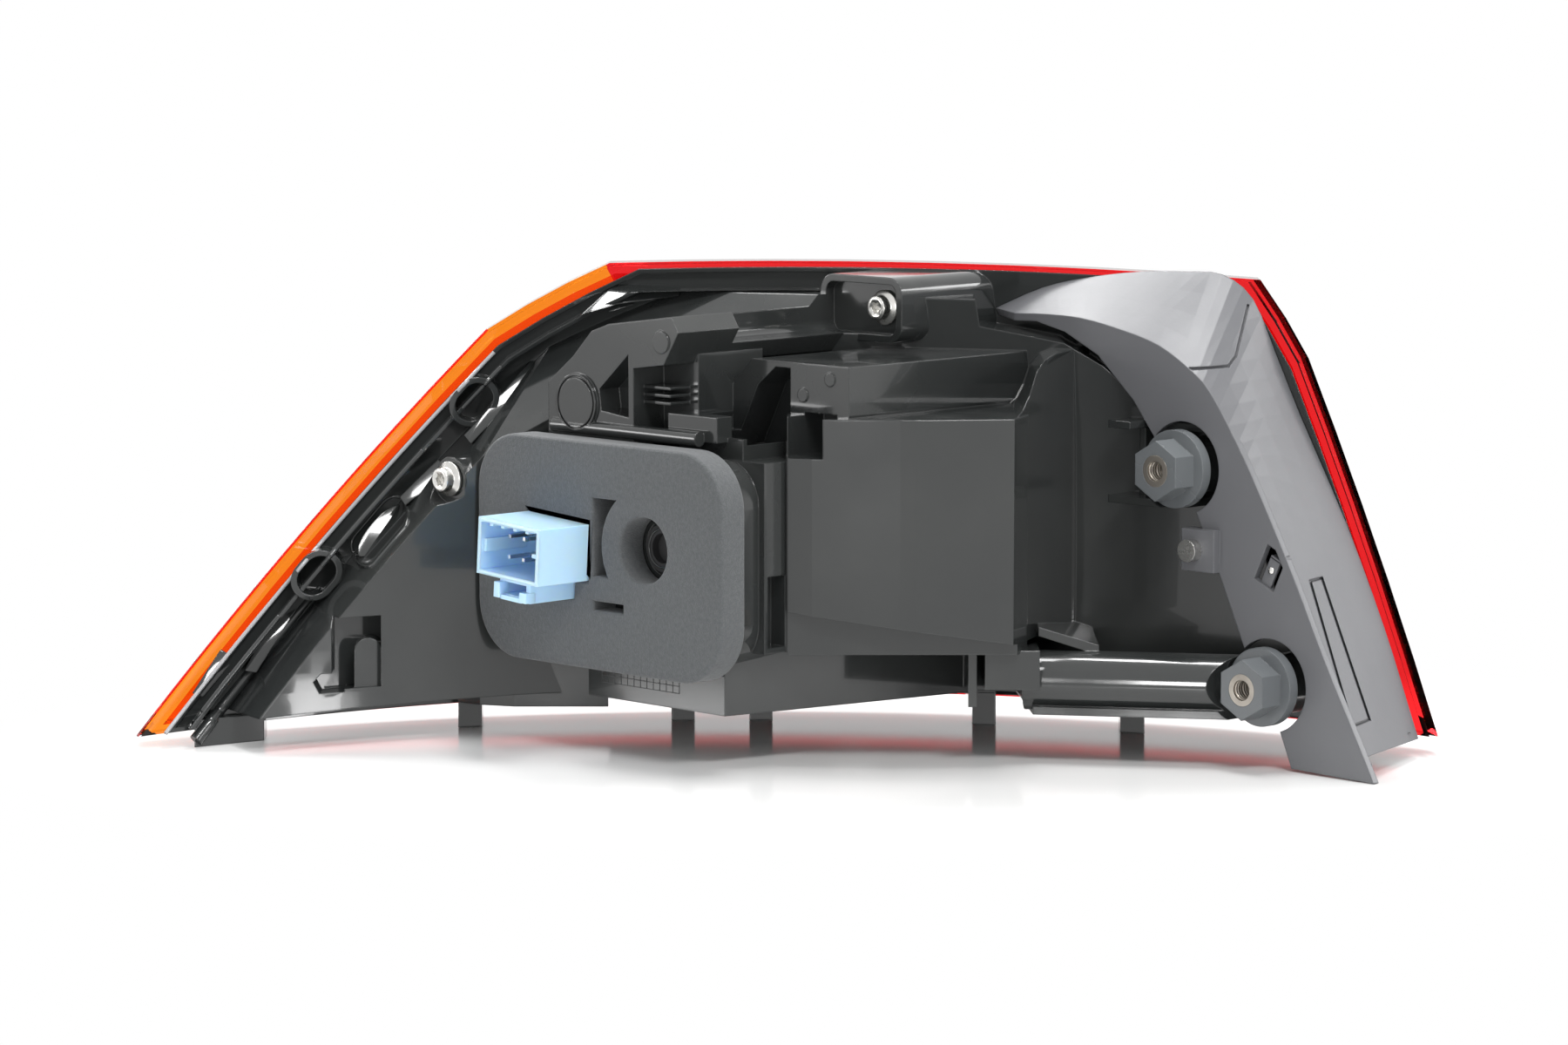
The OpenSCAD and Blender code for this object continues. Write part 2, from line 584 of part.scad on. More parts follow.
// Trim
// A smooth curve through the points, with n steps between neighbours
function curve(p, n) = let (m = len(p) - 1)
    concat([for (i = [0:m - 1], k = [0:n - 1])
        let (a = p[max(0, i - 1)], b = p[i], c = p[i + 1], d = p[min(m, i + 2)], t = k / n)
        b + (c - a) * t / 2 + (a * 2 - b * 5 + c * 4 - d) * t * t / 2
            + (b * 3 - a - c * 3 + d) * t * t * t / 2], [p[m]]);
front_line = curve([for (p = trim_line) p[0]], 3);
back_line = curve([for (p = trim_line) p[1]], 3);
trim_back = rim_back + wall + gap;
function inward(p, i, d) =
    let (n = len(p), a = p[max(0, i - 1)], b = p[min(n - 1, i + 1)]) p[i] + right_of(a, b) * d;
// The trim's wall, ruled between its front and back edges in this many strips
strips = 4;
module trim_skin() {
    n = len(front_line);
    m = 2 * (strips + 1);
    points = [for (i = [0:n - 1])
        let (f = front_line[i], g = inward(front_line, i, trim_t), c = inward(back_line, i, trim_t),
            near = [f.x, blade_y, f.y], near_in = [g.x, blade_y, g.y],
            far = on_lens(back_line[i], trim_back), far_in = on_lens(c, trim_back))
        each concat([for (k = [0:strips]) near + (far - near) * k / strips],
            [for (k = [0:strips]) far_in + (near_in - far_in) * k / strips])];
    sides = [for (i = [0:n - 2], k = [0:m - 1]) let (a = m * i + k, b = m * i + (k + 1) % m)
        each [[a, b, b + m], [a, b + m, a + m]]];
    end = m * (n - 1);
    caps = [for (k = [0:strips - 1]) let (a = k, b = k + 1, c = m - 2 - k, d = m - 1 - k)
        each [[c, b, a], [d, c, a], [end + a, end + b, end + c], [end + a, end + c, end + d]]];
    polyhedron(points, concat(sides, caps));
}
// The outermost layer of the trim inside a drawing
module trim_line_cut() difference() {
    lamp() through(-40) children();
    translate([-line_depth, 0, -line_depth / 2]) trim_skin();
}
module stroke(points, w) for (i = [0:len(points) - 2]) let (a = points[i], e = points[i + 1] - a)
    translate(a) rotate(atan2(e.y, e.x)) translate([-w / 2, -w / 2]) square([norm(e) + w, w]);
module trim_panel() color([0.35, 0.36, 0.38]) place() {
    difference() {
        trim_skin();
        trim_line_cut() stroke(fold_line, line_depth);
        trim_line_cut() difference() {
            polygon(sunk_frame);
            polygon(inset(sunk_frame, line_depth));
        }
    }
    difference() {
        along_y(blade_y, blade_y + trim_t) polygon(concat(front_line, blade_line));
        for (c = adjusters) rod_y(c, collar_d + 2 * trim_gap, blade_y - 1, blade_y + 20);
        along_y(blade_y - 1, blade_y + 9) translate([118.6, 66]) rotate(-25) square([9, 13], center = true);
    }
    difference() {
        translate([trim_screw_c.x - 5, blade_y - 3, trim_screw_c.y - 7]) cube([14, 3 + trim_t, 14]);
        rod_y(trim_screw_c, 3.7, blade_y - 5, blade_y + 10);
    }
}
module trim_screw() color([0.8, 0.8, 0.8]) place() {
    rod_y(trim_screw_c, trim_screw_d, blade_y - 6.5, blade_y - 3);
    rod_y(trim_screw_c, 3.5, blade_y - 4, blade_y + 15);
}

// Light unit
module windows(g) {
    for (w = [brake_window, turn_window, reverse_window]) polygon(inset(w, g));
}
module inner_bezel() color([0.1, 0.1, 0.11]) place() lamp() {
    curved(bezel_depth, bezel_depth + 2) difference() {
        polygon(outline(rim_in + all4(6)));
        windows(0);
    }
    curved(bezel_depth + 1, rim_back - seam) ring(rim_in + all4(6), rim_in + all4(8));
    curved(bezel_depth + 1, tray_depth - seam) difference() {
        windows(-2);
        windows(0);
    }
}
module light_guide() color([1, 0.5, 0.45, 0.8]) place() lamp()
    curved(bezel_depth - 3.2, bezel_depth) ring(guide_in, guide_in + all4(guide_w));
module cups(first, last, heights, d) for (i = [first:last], z = heights) translate([lens_cu, lens_cv, z])
    rotate([0, 0, cup_angle(i)]) translate([surface_r(z, d), 0, 0]) rotate([0, -90, 0]) children();
module tray(window) curved(tray_depth, tray_depth + tray_h) polygon(inset(window, -1.8));
module tray_back(window) curved(tray_depth + 2, tray_depth + tray_h + 1) polygon(inset(window, 0));
module cup(grow = 0) translate([0, 0, -1])
    cylinder(h = tray_h + 2, d1 = cup_d + 2 * grow, d2 = cup_d * 0.36 + 2 * grow);
module led() translate([-2.5, -2.5, -1.2]) cube([5, 5, 1.2]);
module brake_cups(d) {
    cups(-1, 5, [lens_top - 68.5], d) children();
    cups(0, 3, [lens_top - 43.5], d) children();
}
module turn_cups(d) cups(-3, -1, [46], d) children();
module reverse_cups(d) cups(1, 6, [46], d) children();
module brake_reflector() color([0.85, 0.85, 0.87]) place() lamp() difference() {
    tray(brake_window);
    difference() {
        tray_back(brake_window);
        brake_cups(tray_depth) cup(1.5);
    }
    brake_cups(tray_depth) cup();
}
module turn_reflector() color([0.85, 0.85, 0.87]) place() lamp() difference() {
    tray(turn_window);
    difference() {
        tray_back(turn_window);
        turn_cups(tray_depth) cup(1.5);
    }
    turn_cups(tray_depth) cup();
}
module reverse_reflector() color([0.85, 0.85, 0.87]) place() lamp() difference() {
    tray(reverse_window);
    difference() {
        tray_back(reverse_window);
        reverse_cups(tray_depth) cup(1.5);
    }
    reverse_cups(tray_depth) cup();
}
module board(window) curved(board_depth, board_depth + 1.6) polygon(inset(window, 0));
module brake_board() color([0.1, 0.35, 0.15]) place() lamp() board(brake_window);
module turn_board() color([0.1, 0.35, 0.15]) place() lamp() board(turn_window);
module reverse_board() color([0.1, 0.35, 0.15]) place() lamp() board(reverse_window);
module brake_leds() color([0.95, 0.9, 0.6]) place() lamp() brake_cups(board_depth - gap) led();
module turn_leds() color([0.95, 0.9, 0.6]) place() lamp() turn_cups(board_depth - gap) led();
module reverse_leds() color([0.95, 0.9, 0.6]) place() lamp() reverse_cups(board_depth - gap) led();
module reflex_reflector() color([0.8, 0.05, 0.05]) place() lamp()
    curved(bezel_depth - 3.2, bezel_depth) translate([40, 71.5]) square([150, 7], center = true);

housing();
lens_red();
lens_amber();
rim_seal();
foam_gasket();
connector_shell();
connector_pins();
adjuster_upper();
adjuster_lower();
threaded_inserts();
housing_screws();
breather_cap();
trim_panel();
trim_screw();
inner_bezel();
light_guide();
brake_reflector();
turn_reflector();
reverse_reflector();
brake_board();
turn_board();
reverse_board();
brake_leds();
turn_leds();
reverse_leds();
reflex_reflector();
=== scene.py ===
"""Looks of the tail light cluster: its finishes, fine details, foam, optics, floor, lamps and camera."""

from __future__ import annotations

import logging
import math
from dataclasses import dataclass, field
from enum import Enum

import bmesh
import bpy
from mathutils import Matrix, Vector
from mathutils.bvhtree import BVHTree


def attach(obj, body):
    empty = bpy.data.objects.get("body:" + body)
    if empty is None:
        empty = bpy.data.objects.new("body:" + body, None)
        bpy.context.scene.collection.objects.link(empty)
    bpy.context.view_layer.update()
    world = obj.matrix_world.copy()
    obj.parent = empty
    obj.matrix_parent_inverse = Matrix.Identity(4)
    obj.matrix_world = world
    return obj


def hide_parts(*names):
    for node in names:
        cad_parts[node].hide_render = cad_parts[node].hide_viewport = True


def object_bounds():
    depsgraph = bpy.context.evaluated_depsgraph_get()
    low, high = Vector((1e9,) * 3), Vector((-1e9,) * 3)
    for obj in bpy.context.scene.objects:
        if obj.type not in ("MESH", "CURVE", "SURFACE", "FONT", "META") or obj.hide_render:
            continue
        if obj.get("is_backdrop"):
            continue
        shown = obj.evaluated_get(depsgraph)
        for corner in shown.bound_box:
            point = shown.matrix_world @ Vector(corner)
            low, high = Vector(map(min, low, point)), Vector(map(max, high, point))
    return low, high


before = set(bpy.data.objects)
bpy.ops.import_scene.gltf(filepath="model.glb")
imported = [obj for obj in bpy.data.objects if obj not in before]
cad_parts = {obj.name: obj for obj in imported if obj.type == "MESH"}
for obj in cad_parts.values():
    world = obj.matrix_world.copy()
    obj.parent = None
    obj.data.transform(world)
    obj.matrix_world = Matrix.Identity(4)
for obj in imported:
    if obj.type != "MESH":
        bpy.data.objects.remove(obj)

LOG = logging.getLogger("tail_light")
MM = 0.001
# The middle of the lamp at floor level, seen from the row's origin, in millimetres
MIDDLE = Vector((-80.7, -92.0, -96.0))
# The lamp's own axes stand turned in the row frame: u to the right, v away from the camera, z up
TURN = Matrix.Rotation(math.radians(45), 3, "Z")
# Types of the sockets on the groups' outer faces
FLOAT, INTEGER, VECTOR = "NodeSocketFloat", "NodeSocketInt", "NodeSocketVector"
COLOUR, MATERIAL, GEOMETRY = "NodeSocketColor", "NodeSocketMaterial", "NodeSocketGeometry"

Pair = tuple[float, float]
Triple = tuple[float, float, float]
Path = tuple[list[Vector], bool]
Node = bpy.types.Node
Socket = bpy.types.NodeSocket
Tree = bpy.types.NodeTree
Material = bpy.types.Material
Object = bpy.types.Object
BMesh = bmesh.types.BMesh


def row_point(x: float, y: float, z: float) -> Vector:
    """A place in the row frame, from millimetres on its own axes counted from the lamp's middle."""
    return (MIDDLE + Vector((x, y, z))) * MM


def lamp_point(u: float, v: float, z: float) -> Vector:
    """A place in the row frame, from millimetres on the lamp's own axes."""
    return (MIDDLE + TURN @ Vector((u, v, z))) * MM


def standing(x: float, z: float, degrees: float) -> Matrix:
    """Carries millimetres on axes at (x, z), turned about the row's y, into the row frame."""
    turn = Matrix.Rotation(math.radians(degrees), 4, "Y")
    return Matrix.Scale(MM, 4) @ Matrix.Translation(MIDDLE + Vector((x, 0, z))) @ turn


def turned(x: float, y: float, degrees: float) -> Vector:
    """A flat vector turned about the origin."""
    a = math.radians(degrees)
    return Vector((x * math.cos(a) - y * math.sin(a), x * math.sin(a) + y * math.cos(a)))


def circle(steps: int) -> list[Vector]:
    """Points round a circle of radius one."""
    return [turned(1.0, 0.0, 360.0 * i / steps) for i in range(steps)]


def rounded(width: float, height: float, corner: float, steps: int) -> list[Vector]:
    """Points round a rectangle with round corners, about its middle.

    Args:
        width: Its full width.
        height: Its full height.
        corner: The corners' radius.
        steps: How many sides each corner has.

    Returns:
        The points, from the right side on, against the clock.
    """
    points = []
    for k, (sx, sy) in enumerate(((1, 1), (-1, 1), (-1, -1), (1, -1))):
        middle = Vector((sx * (width / 2 - corner), sy * (height / 2 - corner)))
        points += [middle + turned(corner, 0.0, 90 * (k + i / steps)) for i in range(steps + 1)]
    return points


@dataclass(frozen=True)
class LensSurface:
    """The crowned surface of the lens, which the light unit behind it follows."""

    radius: float = 350.0
    crown: float = 520.0
    crown_z: float = 60.0
    centre_u: float = -12.0
    centre_v: float = -234.0

    def reach(self, z: float, depth: float) -> float:
        """Plan radius at a height and a depth behind the surface, in millimetres."""
        inner = self.crown - depth
        return self.radius - self.crown + math.sqrt(inner * inner - (z - self.crown_z) ** 2)

    def at(self, u: float, z: float, depth: float) -> Vector:
        """The place at (u, z) on the lamp's axes, at a depth behind the surface."""
        r = self.reach(z, depth)
        v = self.centre_v + math.sqrt(r * r - (u - self.centre_u) ** 2)
        return lamp_point(u, v, z)


LENS = LensSurface()


class Graph:
    """A node tree under construction."""

    def __init__(self, tree: Tree) -> None:
        """Starts on a tree and keeps it."""
        self.tree = tree

    def put(self, node: Node, inputs: dict) -> None:
        """Links or sets a node's inputs, each by its name or number. A node stands for its first output."""
        for key, value in inputs.items():
            if isinstance(value, Node):
                self.tree.links.new(value.outputs[0], node.inputs[key])
            elif isinstance(value, Socket):
                self.tree.links.new(value, node.inputs[key])
            else:
                node.inputs[key].default_value = value

    def add(self, kind: str, inputs: dict | None = None, **settings: object) -> Node:
        """Adds a node.

        Args:
            kind: The node's type.
            inputs: Values or sockets for its inputs, by name or number.
            settings: Values of the node's own options.

        Returns:
            The new node.
        """
        node = self.tree.nodes.new(kind)
        for key, value in settings.items():
            setattr(node, key, value)
        self.put(node, inputs or {})
        return node

    def place(self) -> Socket:
        """Adds the object's own coordinates."""
        return self.add("ShaderNodeTexCoord").outputs["Object"]

    def math(self, operation: str, *values: object) -> Socket:
        """Adds a Math node in either kind of tree and gives its result."""
        return self.add("ShaderNodeMath", dict(enumerate(values)), operation=operation).outputs[0]

    def vector(self, operation: str, *values: object) -> Node:
        """Adds a Vector Math node in either kind of tree."""
        return self.add("ShaderNodeVectorMath", dict(enumerate(values)), operation=operation)

    def noise(self, place: object, scale: object, detail: float) -> Socket:
        """Adds a noise texture and gives its value."""
        inputs = {"Vector": place, "Scale": scale, "Detail": detail}
        return self.add("ShaderNodeTexNoise", inputs).outputs["Fac"]

    def remap(self, value: object, old: Pair, new: tuple = (0.0, 1.0), **settings: object) -> Socket:
        """Adds a Map Range node that carries one span of values into another."""
        inputs = {0: value, 1: old[0], 2: old[1], 3: new[0], 4: new[1]}
        return self.add("ShaderNodeMapRange", inputs, **settings).outputs[0]

    def blend(self, mask: object, one: object, two: object) -> Socket:
        """Adds a mix of two colours by a mask."""
        inputs = {"Factor": mask, "A": one, "B": two}
        return self.add("ShaderNodeMix", inputs, data_type="RGBA").outputs[2]


Opened = tuple[Graph, bpy.types.NodeOutputs, Node]


def open_tree(name: str, kind: str, inputs: dict[str, str], outputs: dict[str, str]) -> Opened:
    """Opens a new node group.

    Args:
        name: The group's name.
        kind: The type of its tree.
        inputs: Socket type, by socket name.
        outputs: Socket type, by socket name.

    Returns:
        The graph, what comes in by name, and the node that takes what goes out.
    """
    tree = bpy.data.node_groups.new(name, kind)
    for way, sockets in (("INPUT", inputs), ("OUTPUT", outputs)):
        for label, socket_type in sockets.items():
            tree.interface.new_socket(label, in_out=way, socket_type=socket_type)
    graph = Graph(tree)
    return graph, graph.add("NodeGroupInput").outputs, graph.add("NodeGroupOutput")


def floats(*names: str) -> dict[str, str]:
    """Sockets that carry plain numbers, by name."""
    return {name: FLOAT for name in names}


def grain_group() -> Tree:
    """A moulded or turned surface: a fine skin, slow flow marks and a long wave."""
    plain = floats("Grain Scale", "Flow Scale", "Smooth", "Rough", "Grain Height", "Wave Height")
    inputs = {"Vector": VECTOR, "Colour": COLOUR, "Shade": COLOUR, **plain}
    outputs = {"Colour": COLOUR, **floats("Roughness", "Height")}
    g, a, z = open_tree("Moulded_Grain", "ShaderNodeTree", inputs, outputs)
    place = a["Vector"]
    fine = g.noise(place, a["Grain Scale"], 3.0)
    slow = g.noise(place, a["Flow Scale"], 5.0)
    wave = g.noise(g.vector("MULTIPLY", place, (26.0, 26.0, 5.0)), 1.0, 1.0)
    colour = g.blend(g.remap(slow, (0.35, 0.7)), a["Colour"], a["Shade"])
    rough = g.remap(slow, (0.3, 0.75), (a["Smooth"], a["Rough"]))
    grain = g.math("MULTIPLY", fine, a["Grain Height"])
    height = g.math("ADD", grain, g.math("MULTIPLY", wave, a["Wave Height"]))
    g.put(z, {"Colour": colour, "Roughness": rough, "Height": height})
    return g.tree


def film_group() -> Tree:
    """A thin film of handling dust that lies on what faces up."""
    inputs = {"Vector": VECTOR, "Colour": COLOUR, "Dust": COLOUR, **floats("Amount", "Roughness")}
    g, a, z = open_tree("Dust_Film", "ShaderNodeTree", inputs, {"Colour": COLOUR, "Roughness": FLOAT})
    up = g.add("ShaderNodeSeparateXYZ", {0: g.add("ShaderNodeNewGeometry").outputs["Normal"]})
    lies = g.remap(up.outputs["Z"], (0.2, 1.0))
    cover = g.remap(g.noise(a["Vector"], 60.0, 6.0), (0.45, 0.8))
    mask = g.math("MULTIPLY", g.math("MULTIPLY", lies, cover), a["Amount"])
    colour = g.blend(mask, a["Colour"], a["Dust"])
    g.put(z, {"Colour": colour, "Roughness": g.math("ADD", a["Roughness"], mask)})
    return g.tree


def pore_group() -> Tree:
    """Cut foam: small open cells with painted shade in their hollows, and a soft mottle."""
    inputs = {"Vector": VECTOR, "Cell Scale": FLOAT, "Colour": COLOUR, "Shade": COLOUR}
    g, a, z = open_tree("Foam_Pores_Painted_Shade", "ShaderNodeTree", inputs, {"Colour": COLOUR, "Height": FLOAT})
    cells = g.add("ShaderNodeTexVoronoi", {"Vector": a["Vector"], "Scale": a["Cell Scale"]})
    soft = g.noise(a["Vector"], 700.0, 4.0)
    mask = g.remap(g.math("MULTIPLY", cells.outputs["Distance"], soft), (0.05, 0.45))
    # Where the cells sink, the colour turns to the darker one: painted shade in the hollows
    g.put(z, {"Colour": g.blend(mask, a["Shade"], a["Colour"]), "Height": mask})
    return g.tree


GRAIN, FILM, PORES = grain_group(), film_group(), pore_group()


def new_material(name: str) -> tuple[Material, Graph, Node]:
    """A new material with its graph and its Principled node."""
    material = bpy.data.materials.new(name)
    material.use_nodes = True
    return material, Graph(material.node_tree), material.node_tree.nodes["Principled BSDF"]


def rgba(colour: Triple) -> tuple[float, float, float, float]:
    """A colour with full cover."""
    return (*colour, 1.0)


def relief(g: Graph, height: Socket, depth: float = 1.0, edge: float = 0.0, samples: int = 6) -> Node:
    """Adds a fine relief over rounded edges.

    Args:
        g: The material's graph.
        height: The relief, from 0 to 1.
        depth: What a height of 1 stands for, in millimetres.
        edge: Radius of the rounded edges, in millimetres.
        samples: Rays that look for an edge.

    Returns:
        The node that gives the normal.
    """
    bump = g.add("ShaderNodeBump", {"Height": height, "Distance": depth * MM, "Strength": 1.0})
    if edge:
        bevel = g.add("ShaderNodeBevel", {"Radius": edge * MM}, samples=samples)
        g.put(bump, {"Normal": bevel})
    return bump


@dataclass(frozen=True)
class Surface:
    """What every finish is built on."""

    name: str
    colour: Triple

    def looks(self, g: Graph) -> dict:
        """The values and sockets of the shader's inputs, by name, which each kind of finish gives."""
        raise NotImplementedError

    def material(self) -> Material:
        """Builds the material."""
        material, g, shader = new_material(self.name)
        g.put(shader, self.looks(g))
        return material


def grained(g: Graph, place: Socket, finish: Moulded | Metal, shade: Triple, more: dict) -> Node:
    """Adds the grain group with the values of a finish.

    Args:
        g: The material's graph.
        place: The object's own coordinates.
        finish: The finish.
        shade: Its second colour.
        more: Further values of the group, by name.

    Returns:
        The group's node.
    """
    inputs = {
        "Vector": place,
        "Grain Scale": finish.grain_scale,
        "Grain Height": finish.grain_height,
        "Colour": rgba(finish.colour),
        "Shade": rgba(shade),
        "Smooth": finish.smooth,
        "Rough": finish.rough,
        **more,
    }
    return g.add("ShaderNodeGroup", inputs, node_tree=GRAIN)


@dataclass(frozen=True)
class Moulded(Surface):
    """A moulded plastic or rubber, with its skin, flow marks, rounded edges and a little dust."""

    shade: Triple
    smooth: float
    rough: float
    grain_scale: float = 900.0
    grain_height: float = 0.02
    edge: float = 0.5
    dust: float = 0.0
    coat: float = 0.0
    wave: float = 0.0
    scatter: float = 0.0

    def looks(self, g: Graph) -> dict:
        """The shader's inputs, by name."""
        place = g.place()
        grain = grained(g, place, self, self.shade, {"Flow Scale": 14.0, "Wave Height": self.wave})
        dusted = {
            "Vector": place,
            "Colour": grain.outputs["Colour"],
            "Roughness": grain.outputs["Roughness"],
            "Dust": (0.5, 0.5, 0.5, 1),
            "Amount": self.dust,
        }
        film = g.add("ShaderNodeGroup", dusted, node_tree=FILM)
        return {
            "Base Color": film.outputs["Colour"],
            "Roughness": film.outputs["Roughness"],
            "Normal": relief(g, grain.outputs["Height"], edge=self.edge),
            "Coat Weight": self.coat,
            "Subsurface Weight": self.scatter,
            "Subsurface Radius": (0.35, 0.55, 1.0),
            "Subsurface Scale": 0.003,
        }


@dataclass(frozen=True)
class Metal(Surface):
    """A turned, plated or silvered metal surface."""

    smooth: float
    rough: float
    grain_scale: float = 500.0
    grain_height: float = 0.01
    edge: float = 0.25

    def looks(self, g: Graph) -> dict:
        """The shader's inputs, by name."""
        shade = tuple(c * 0.7 for c in self.colour)
        grain = grained(g, g.place(), self, shade, {"Flow Scale": 90.0})
        return {
            "Base Color": grain.outputs["Colour"],
            "Roughness": grain.outputs["Roughness"],
            "Normal": relief(g, grain.outputs["Height"], edge=self.edge, samples=4),
            "Metallic": 1.0,
        }


@dataclass(frozen=True)
class ClearPlastic(Surface):
    """A polished see-through plastic in one colour, with a faint ripple."""

    roughness: float = 0.03
    ior: float = 1.49
    ripple: float = 0.01

    def looks(self, g: Graph) -> dict:
        """The shader's inputs, by name."""
        return {
            "Base Color": rgba(self.colour),
            "Roughness": self.roughness,
            "Normal": relief(g, g.noise(g.place(), 45.0, 1.0), self.ripple),
            "IOR": self.ior,
            "Transmission Weight": 1.0,
        }


@dataclass(frozen=True)
class Foam(Surface):
    """Cut foam with its open cells, their hollows painted darker as shade."""

    shade: Triple
    cell_scale: float = 1500.0
    depth: float = 0.25

    def looks(self, g: Graph) -> dict:
        """The shader's inputs, by name."""
        colours = {"Colour": rgba(self.colour), "Shade": rgba(self.shade)}
        inputs = {"Vector": g.place(), "Cell Scale": self.cell_scale, **colours}
        pores = g.add("ShaderNodeGroup", inputs, node_tree=PORES)
        return {
            "Base Color": pores.outputs["Colour"],
            "Roughness": 0.95,
            "Normal": relief(g, pores.outputs["Height"], self.depth),
            "Sheen Weight": 0.2,
        }


class Finish(Enum):
    """Every finish of the lamp."""

    HOUSING = Moulded(
        "Housing_Gloss_Black", (0.022, 0.024, 0.024), (0.030, 0.032, 0.031), 0.08, 0.22,
        grain_scale=700.0, grain_height=0.004, edge=0.7, dust=0.04, coat=0.45, wave=0.5,
    )
    TRIM = Moulded(
        "Trim_Satin_Grey", (0.125, 0.127, 0.135), (0.110, 0.112, 0.120), 0.34, 0.46,
        grain_scale=1300.0, grain_height=0.020, edge=0.6, dust=0.05,
    )
    ADJUSTER = Moulded(
        "Adjuster_Satin_Grey", (0.130, 0.140, 0.146), (0.105, 0.113, 0.120), 0.22, 0.36,
        grain_scale=1100.0, grain_height=0.010, edge=0.5, dust=0.03,
    )
    CONNECTOR = Moulded(
        "Connector_Light_Blue", (0.52, 0.74, 1.0), (0.48, 0.71, 1.0), 0.20, 0.30,
        grain_height=0.006, edge=0.4, coat=0.4, scatter=0.6,
    )
    RUBBER = Moulded(
        "Seal_Rubber", (0.020, 0.020, 0.021), (0.028, 0.028, 0.029), 0.6, 0.75,
        grain_scale=1500.0, grain_height=0.03, edge=0.3,
    )
    BEZEL = Moulded(
        "Bezel_Piano_Black", (0.012, 0.012, 0.013), (0.018, 0.018, 0.019), 0.10, 0.20,
        grain_scale=700.0, grain_height=0.004, edge=0.4, coat=0.6,
    )
    BOARD = Moulded(
        "Board_Green", (0.020, 0.120, 0.050), (0.016, 0.095, 0.040), 0.30, 0.42,
        grain_scale=1200.0, edge=0.0,
    )
    LED_BODY = Moulded(
        "Led_Cream", (0.80, 0.76, 0.58), (0.74, 0.69, 0.50), 0.35, 0.45, grain_height=0.01, edge=0.2
    )
    # A seal bead along the rim, painted light grey: its pale line is a painted highlight along the rim edge
    RIM_BEAD_HIGHLIGHT = Moulded(
        "Rim_Bead_Painted_Highlight", (0.34, 0.34, 0.35), (0.28, 0.28, 0.29), 0.18, 0.30,
        grain_height=0.006, edge=0.3, coat=0.4,
    )
    SCREW = Metal("Screw_Bright_Zinc", (0.78, 0.77, 0.74), 0.20, 0.34)
    INSERT = Metal("Insert_Dull_Metal", (0.46, 0.42, 0.37), 0.32, 0.46)
    CONTACT = Metal("Contact_Tinned", (0.80, 0.81, 0.84), 0.22, 0.32)
    MIRROR = Metal("Reflector_Silvered", (0.92, 0.92, 0.93), 0.06, 0.14, 300.0, 0.004, 0.0)
    LENS_RED = ClearPlastic("Lens_Red", (0.86, 0.018, 0.022))
    LENS_AMBER = ClearPlastic("Lens_Amber", (1.0, 0.26, 0.015))
    GUIDE = ClearPlastic("Guide_Frosted", (0.95, 0.80, 0.78), 0.28)
    REFLEX = ClearPlastic("Reflex_Red", (0.72, 0.010, 0.012), 0.08)
    # The foam's second colour is painted shade, put in the pits of its cells
    FOAM = Foam("Gasket_Foam", (0.100, 0.106, 0.110), (0.066, 0.071, 0.074), 2600.0, 0.12)

    def get(self) -> Material:
        """The finish's material, built on first use."""
        return bpy.data.materials.get(self.value.name) or self.value.material()


# The nodes that have each finish
FINISHED = {
    Finish.HOUSING: ("housing",),
    Finish.LENS_RED: ("lens_red",),
    Finish.LENS_AMBER: ("lens_amber",),
    Finish.RUBBER: ("rim_seal", "breather_cap"),
    Finish.FOAM: ("foam_gasket",),
    Finish.CONNECTOR: ("connector_shell",),
    Finish.CONTACT: ("connector_pins",),
    Finish.ADJUSTER: ("adjuster_upper", "adjuster_lower"),
    Finish.INSERT: ("threaded_inserts",),
    Finish.SCREW: ("housing_screws", "trim_screw"),
    Finish.TRIM: ("trim_panel",),
    Finish.BEZEL: ("inner_bezel",),
    Finish.GUIDE: ("light_guide",),
    Finish.MIRROR: ("brake_reflector", "turn_reflector", "reverse_reflector"),
    Finish.BOARD: ("brake_board", "turn_board", "reverse_board"),
    Finish.LED_BODY: ("brake_leds", "turn_leds", "reverse_leds"),
    Finish.REFLEX: ("reflex_reflector",),
}


def dress_nodes(nodes: dict[str, Object]) -> None:
    """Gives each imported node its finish."""
    for finish, names in FINISHED.items():
        for name in names:
            materials = nodes[name].data.materials
            materials.clear()
            materials.append(finish.get())
            LOG.info("node %s: %s", name, finish.value.name)


def linked(name: str, data: bpy.types.ID) -> Object:
    """A new object in the scene, at the origin."""
    made = bpy.data.objects.new(name, data)
    bpy.context.scene.collection.objects.link(made)
    return made


def finish_piece(piece: Object, finish: Finish, smooth: float = 35.0) -> None:
    """Dresses a new piece and lets it ride with the lamp.

    Args:
        piece: The piece, in place.
        finish: Its finish.
        smooth: The angle under which faces shade smoothly, in degrees.
    """
    piece.data.materials.clear()
    piece.data.materials.append(finish.get())
    for polygon in piece.data.polygons:
        polygon.use_smooth = True
    piece.data.set_sharp_from_angle(angle=math.radians(smooth))
    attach(piece, "root")
    LOG.info("piece %s: %d faces", piece.name, len(piece.data.polygons))


def mesh_piece(name: str, bm: BMesh) -> Object:
    """Turns a finished bmesh into a linked object at the origin."""
    bmesh.ops.remove_doubles(bm, verts=bm.verts, dist=1e-7)
    bmesh.ops.recalc_face_normals(bm, faces=bm.faces)
    mesh = bpy.data.meshes.new(name)
    bm.to_mesh(mesh)
    bm.free()
    return linked(name, mesh)


def plain_mesh(holder: Object) -> bpy.types.Mesh:
    """The mesh that an object comes out as, with its modifiers or its curve settings worked in."""
    graph = bpy.context.evaluated_depsgraph_get()
    return bpy.data.meshes.new_from_object(holder.evaluated_get(graph), depsgraph=graph)


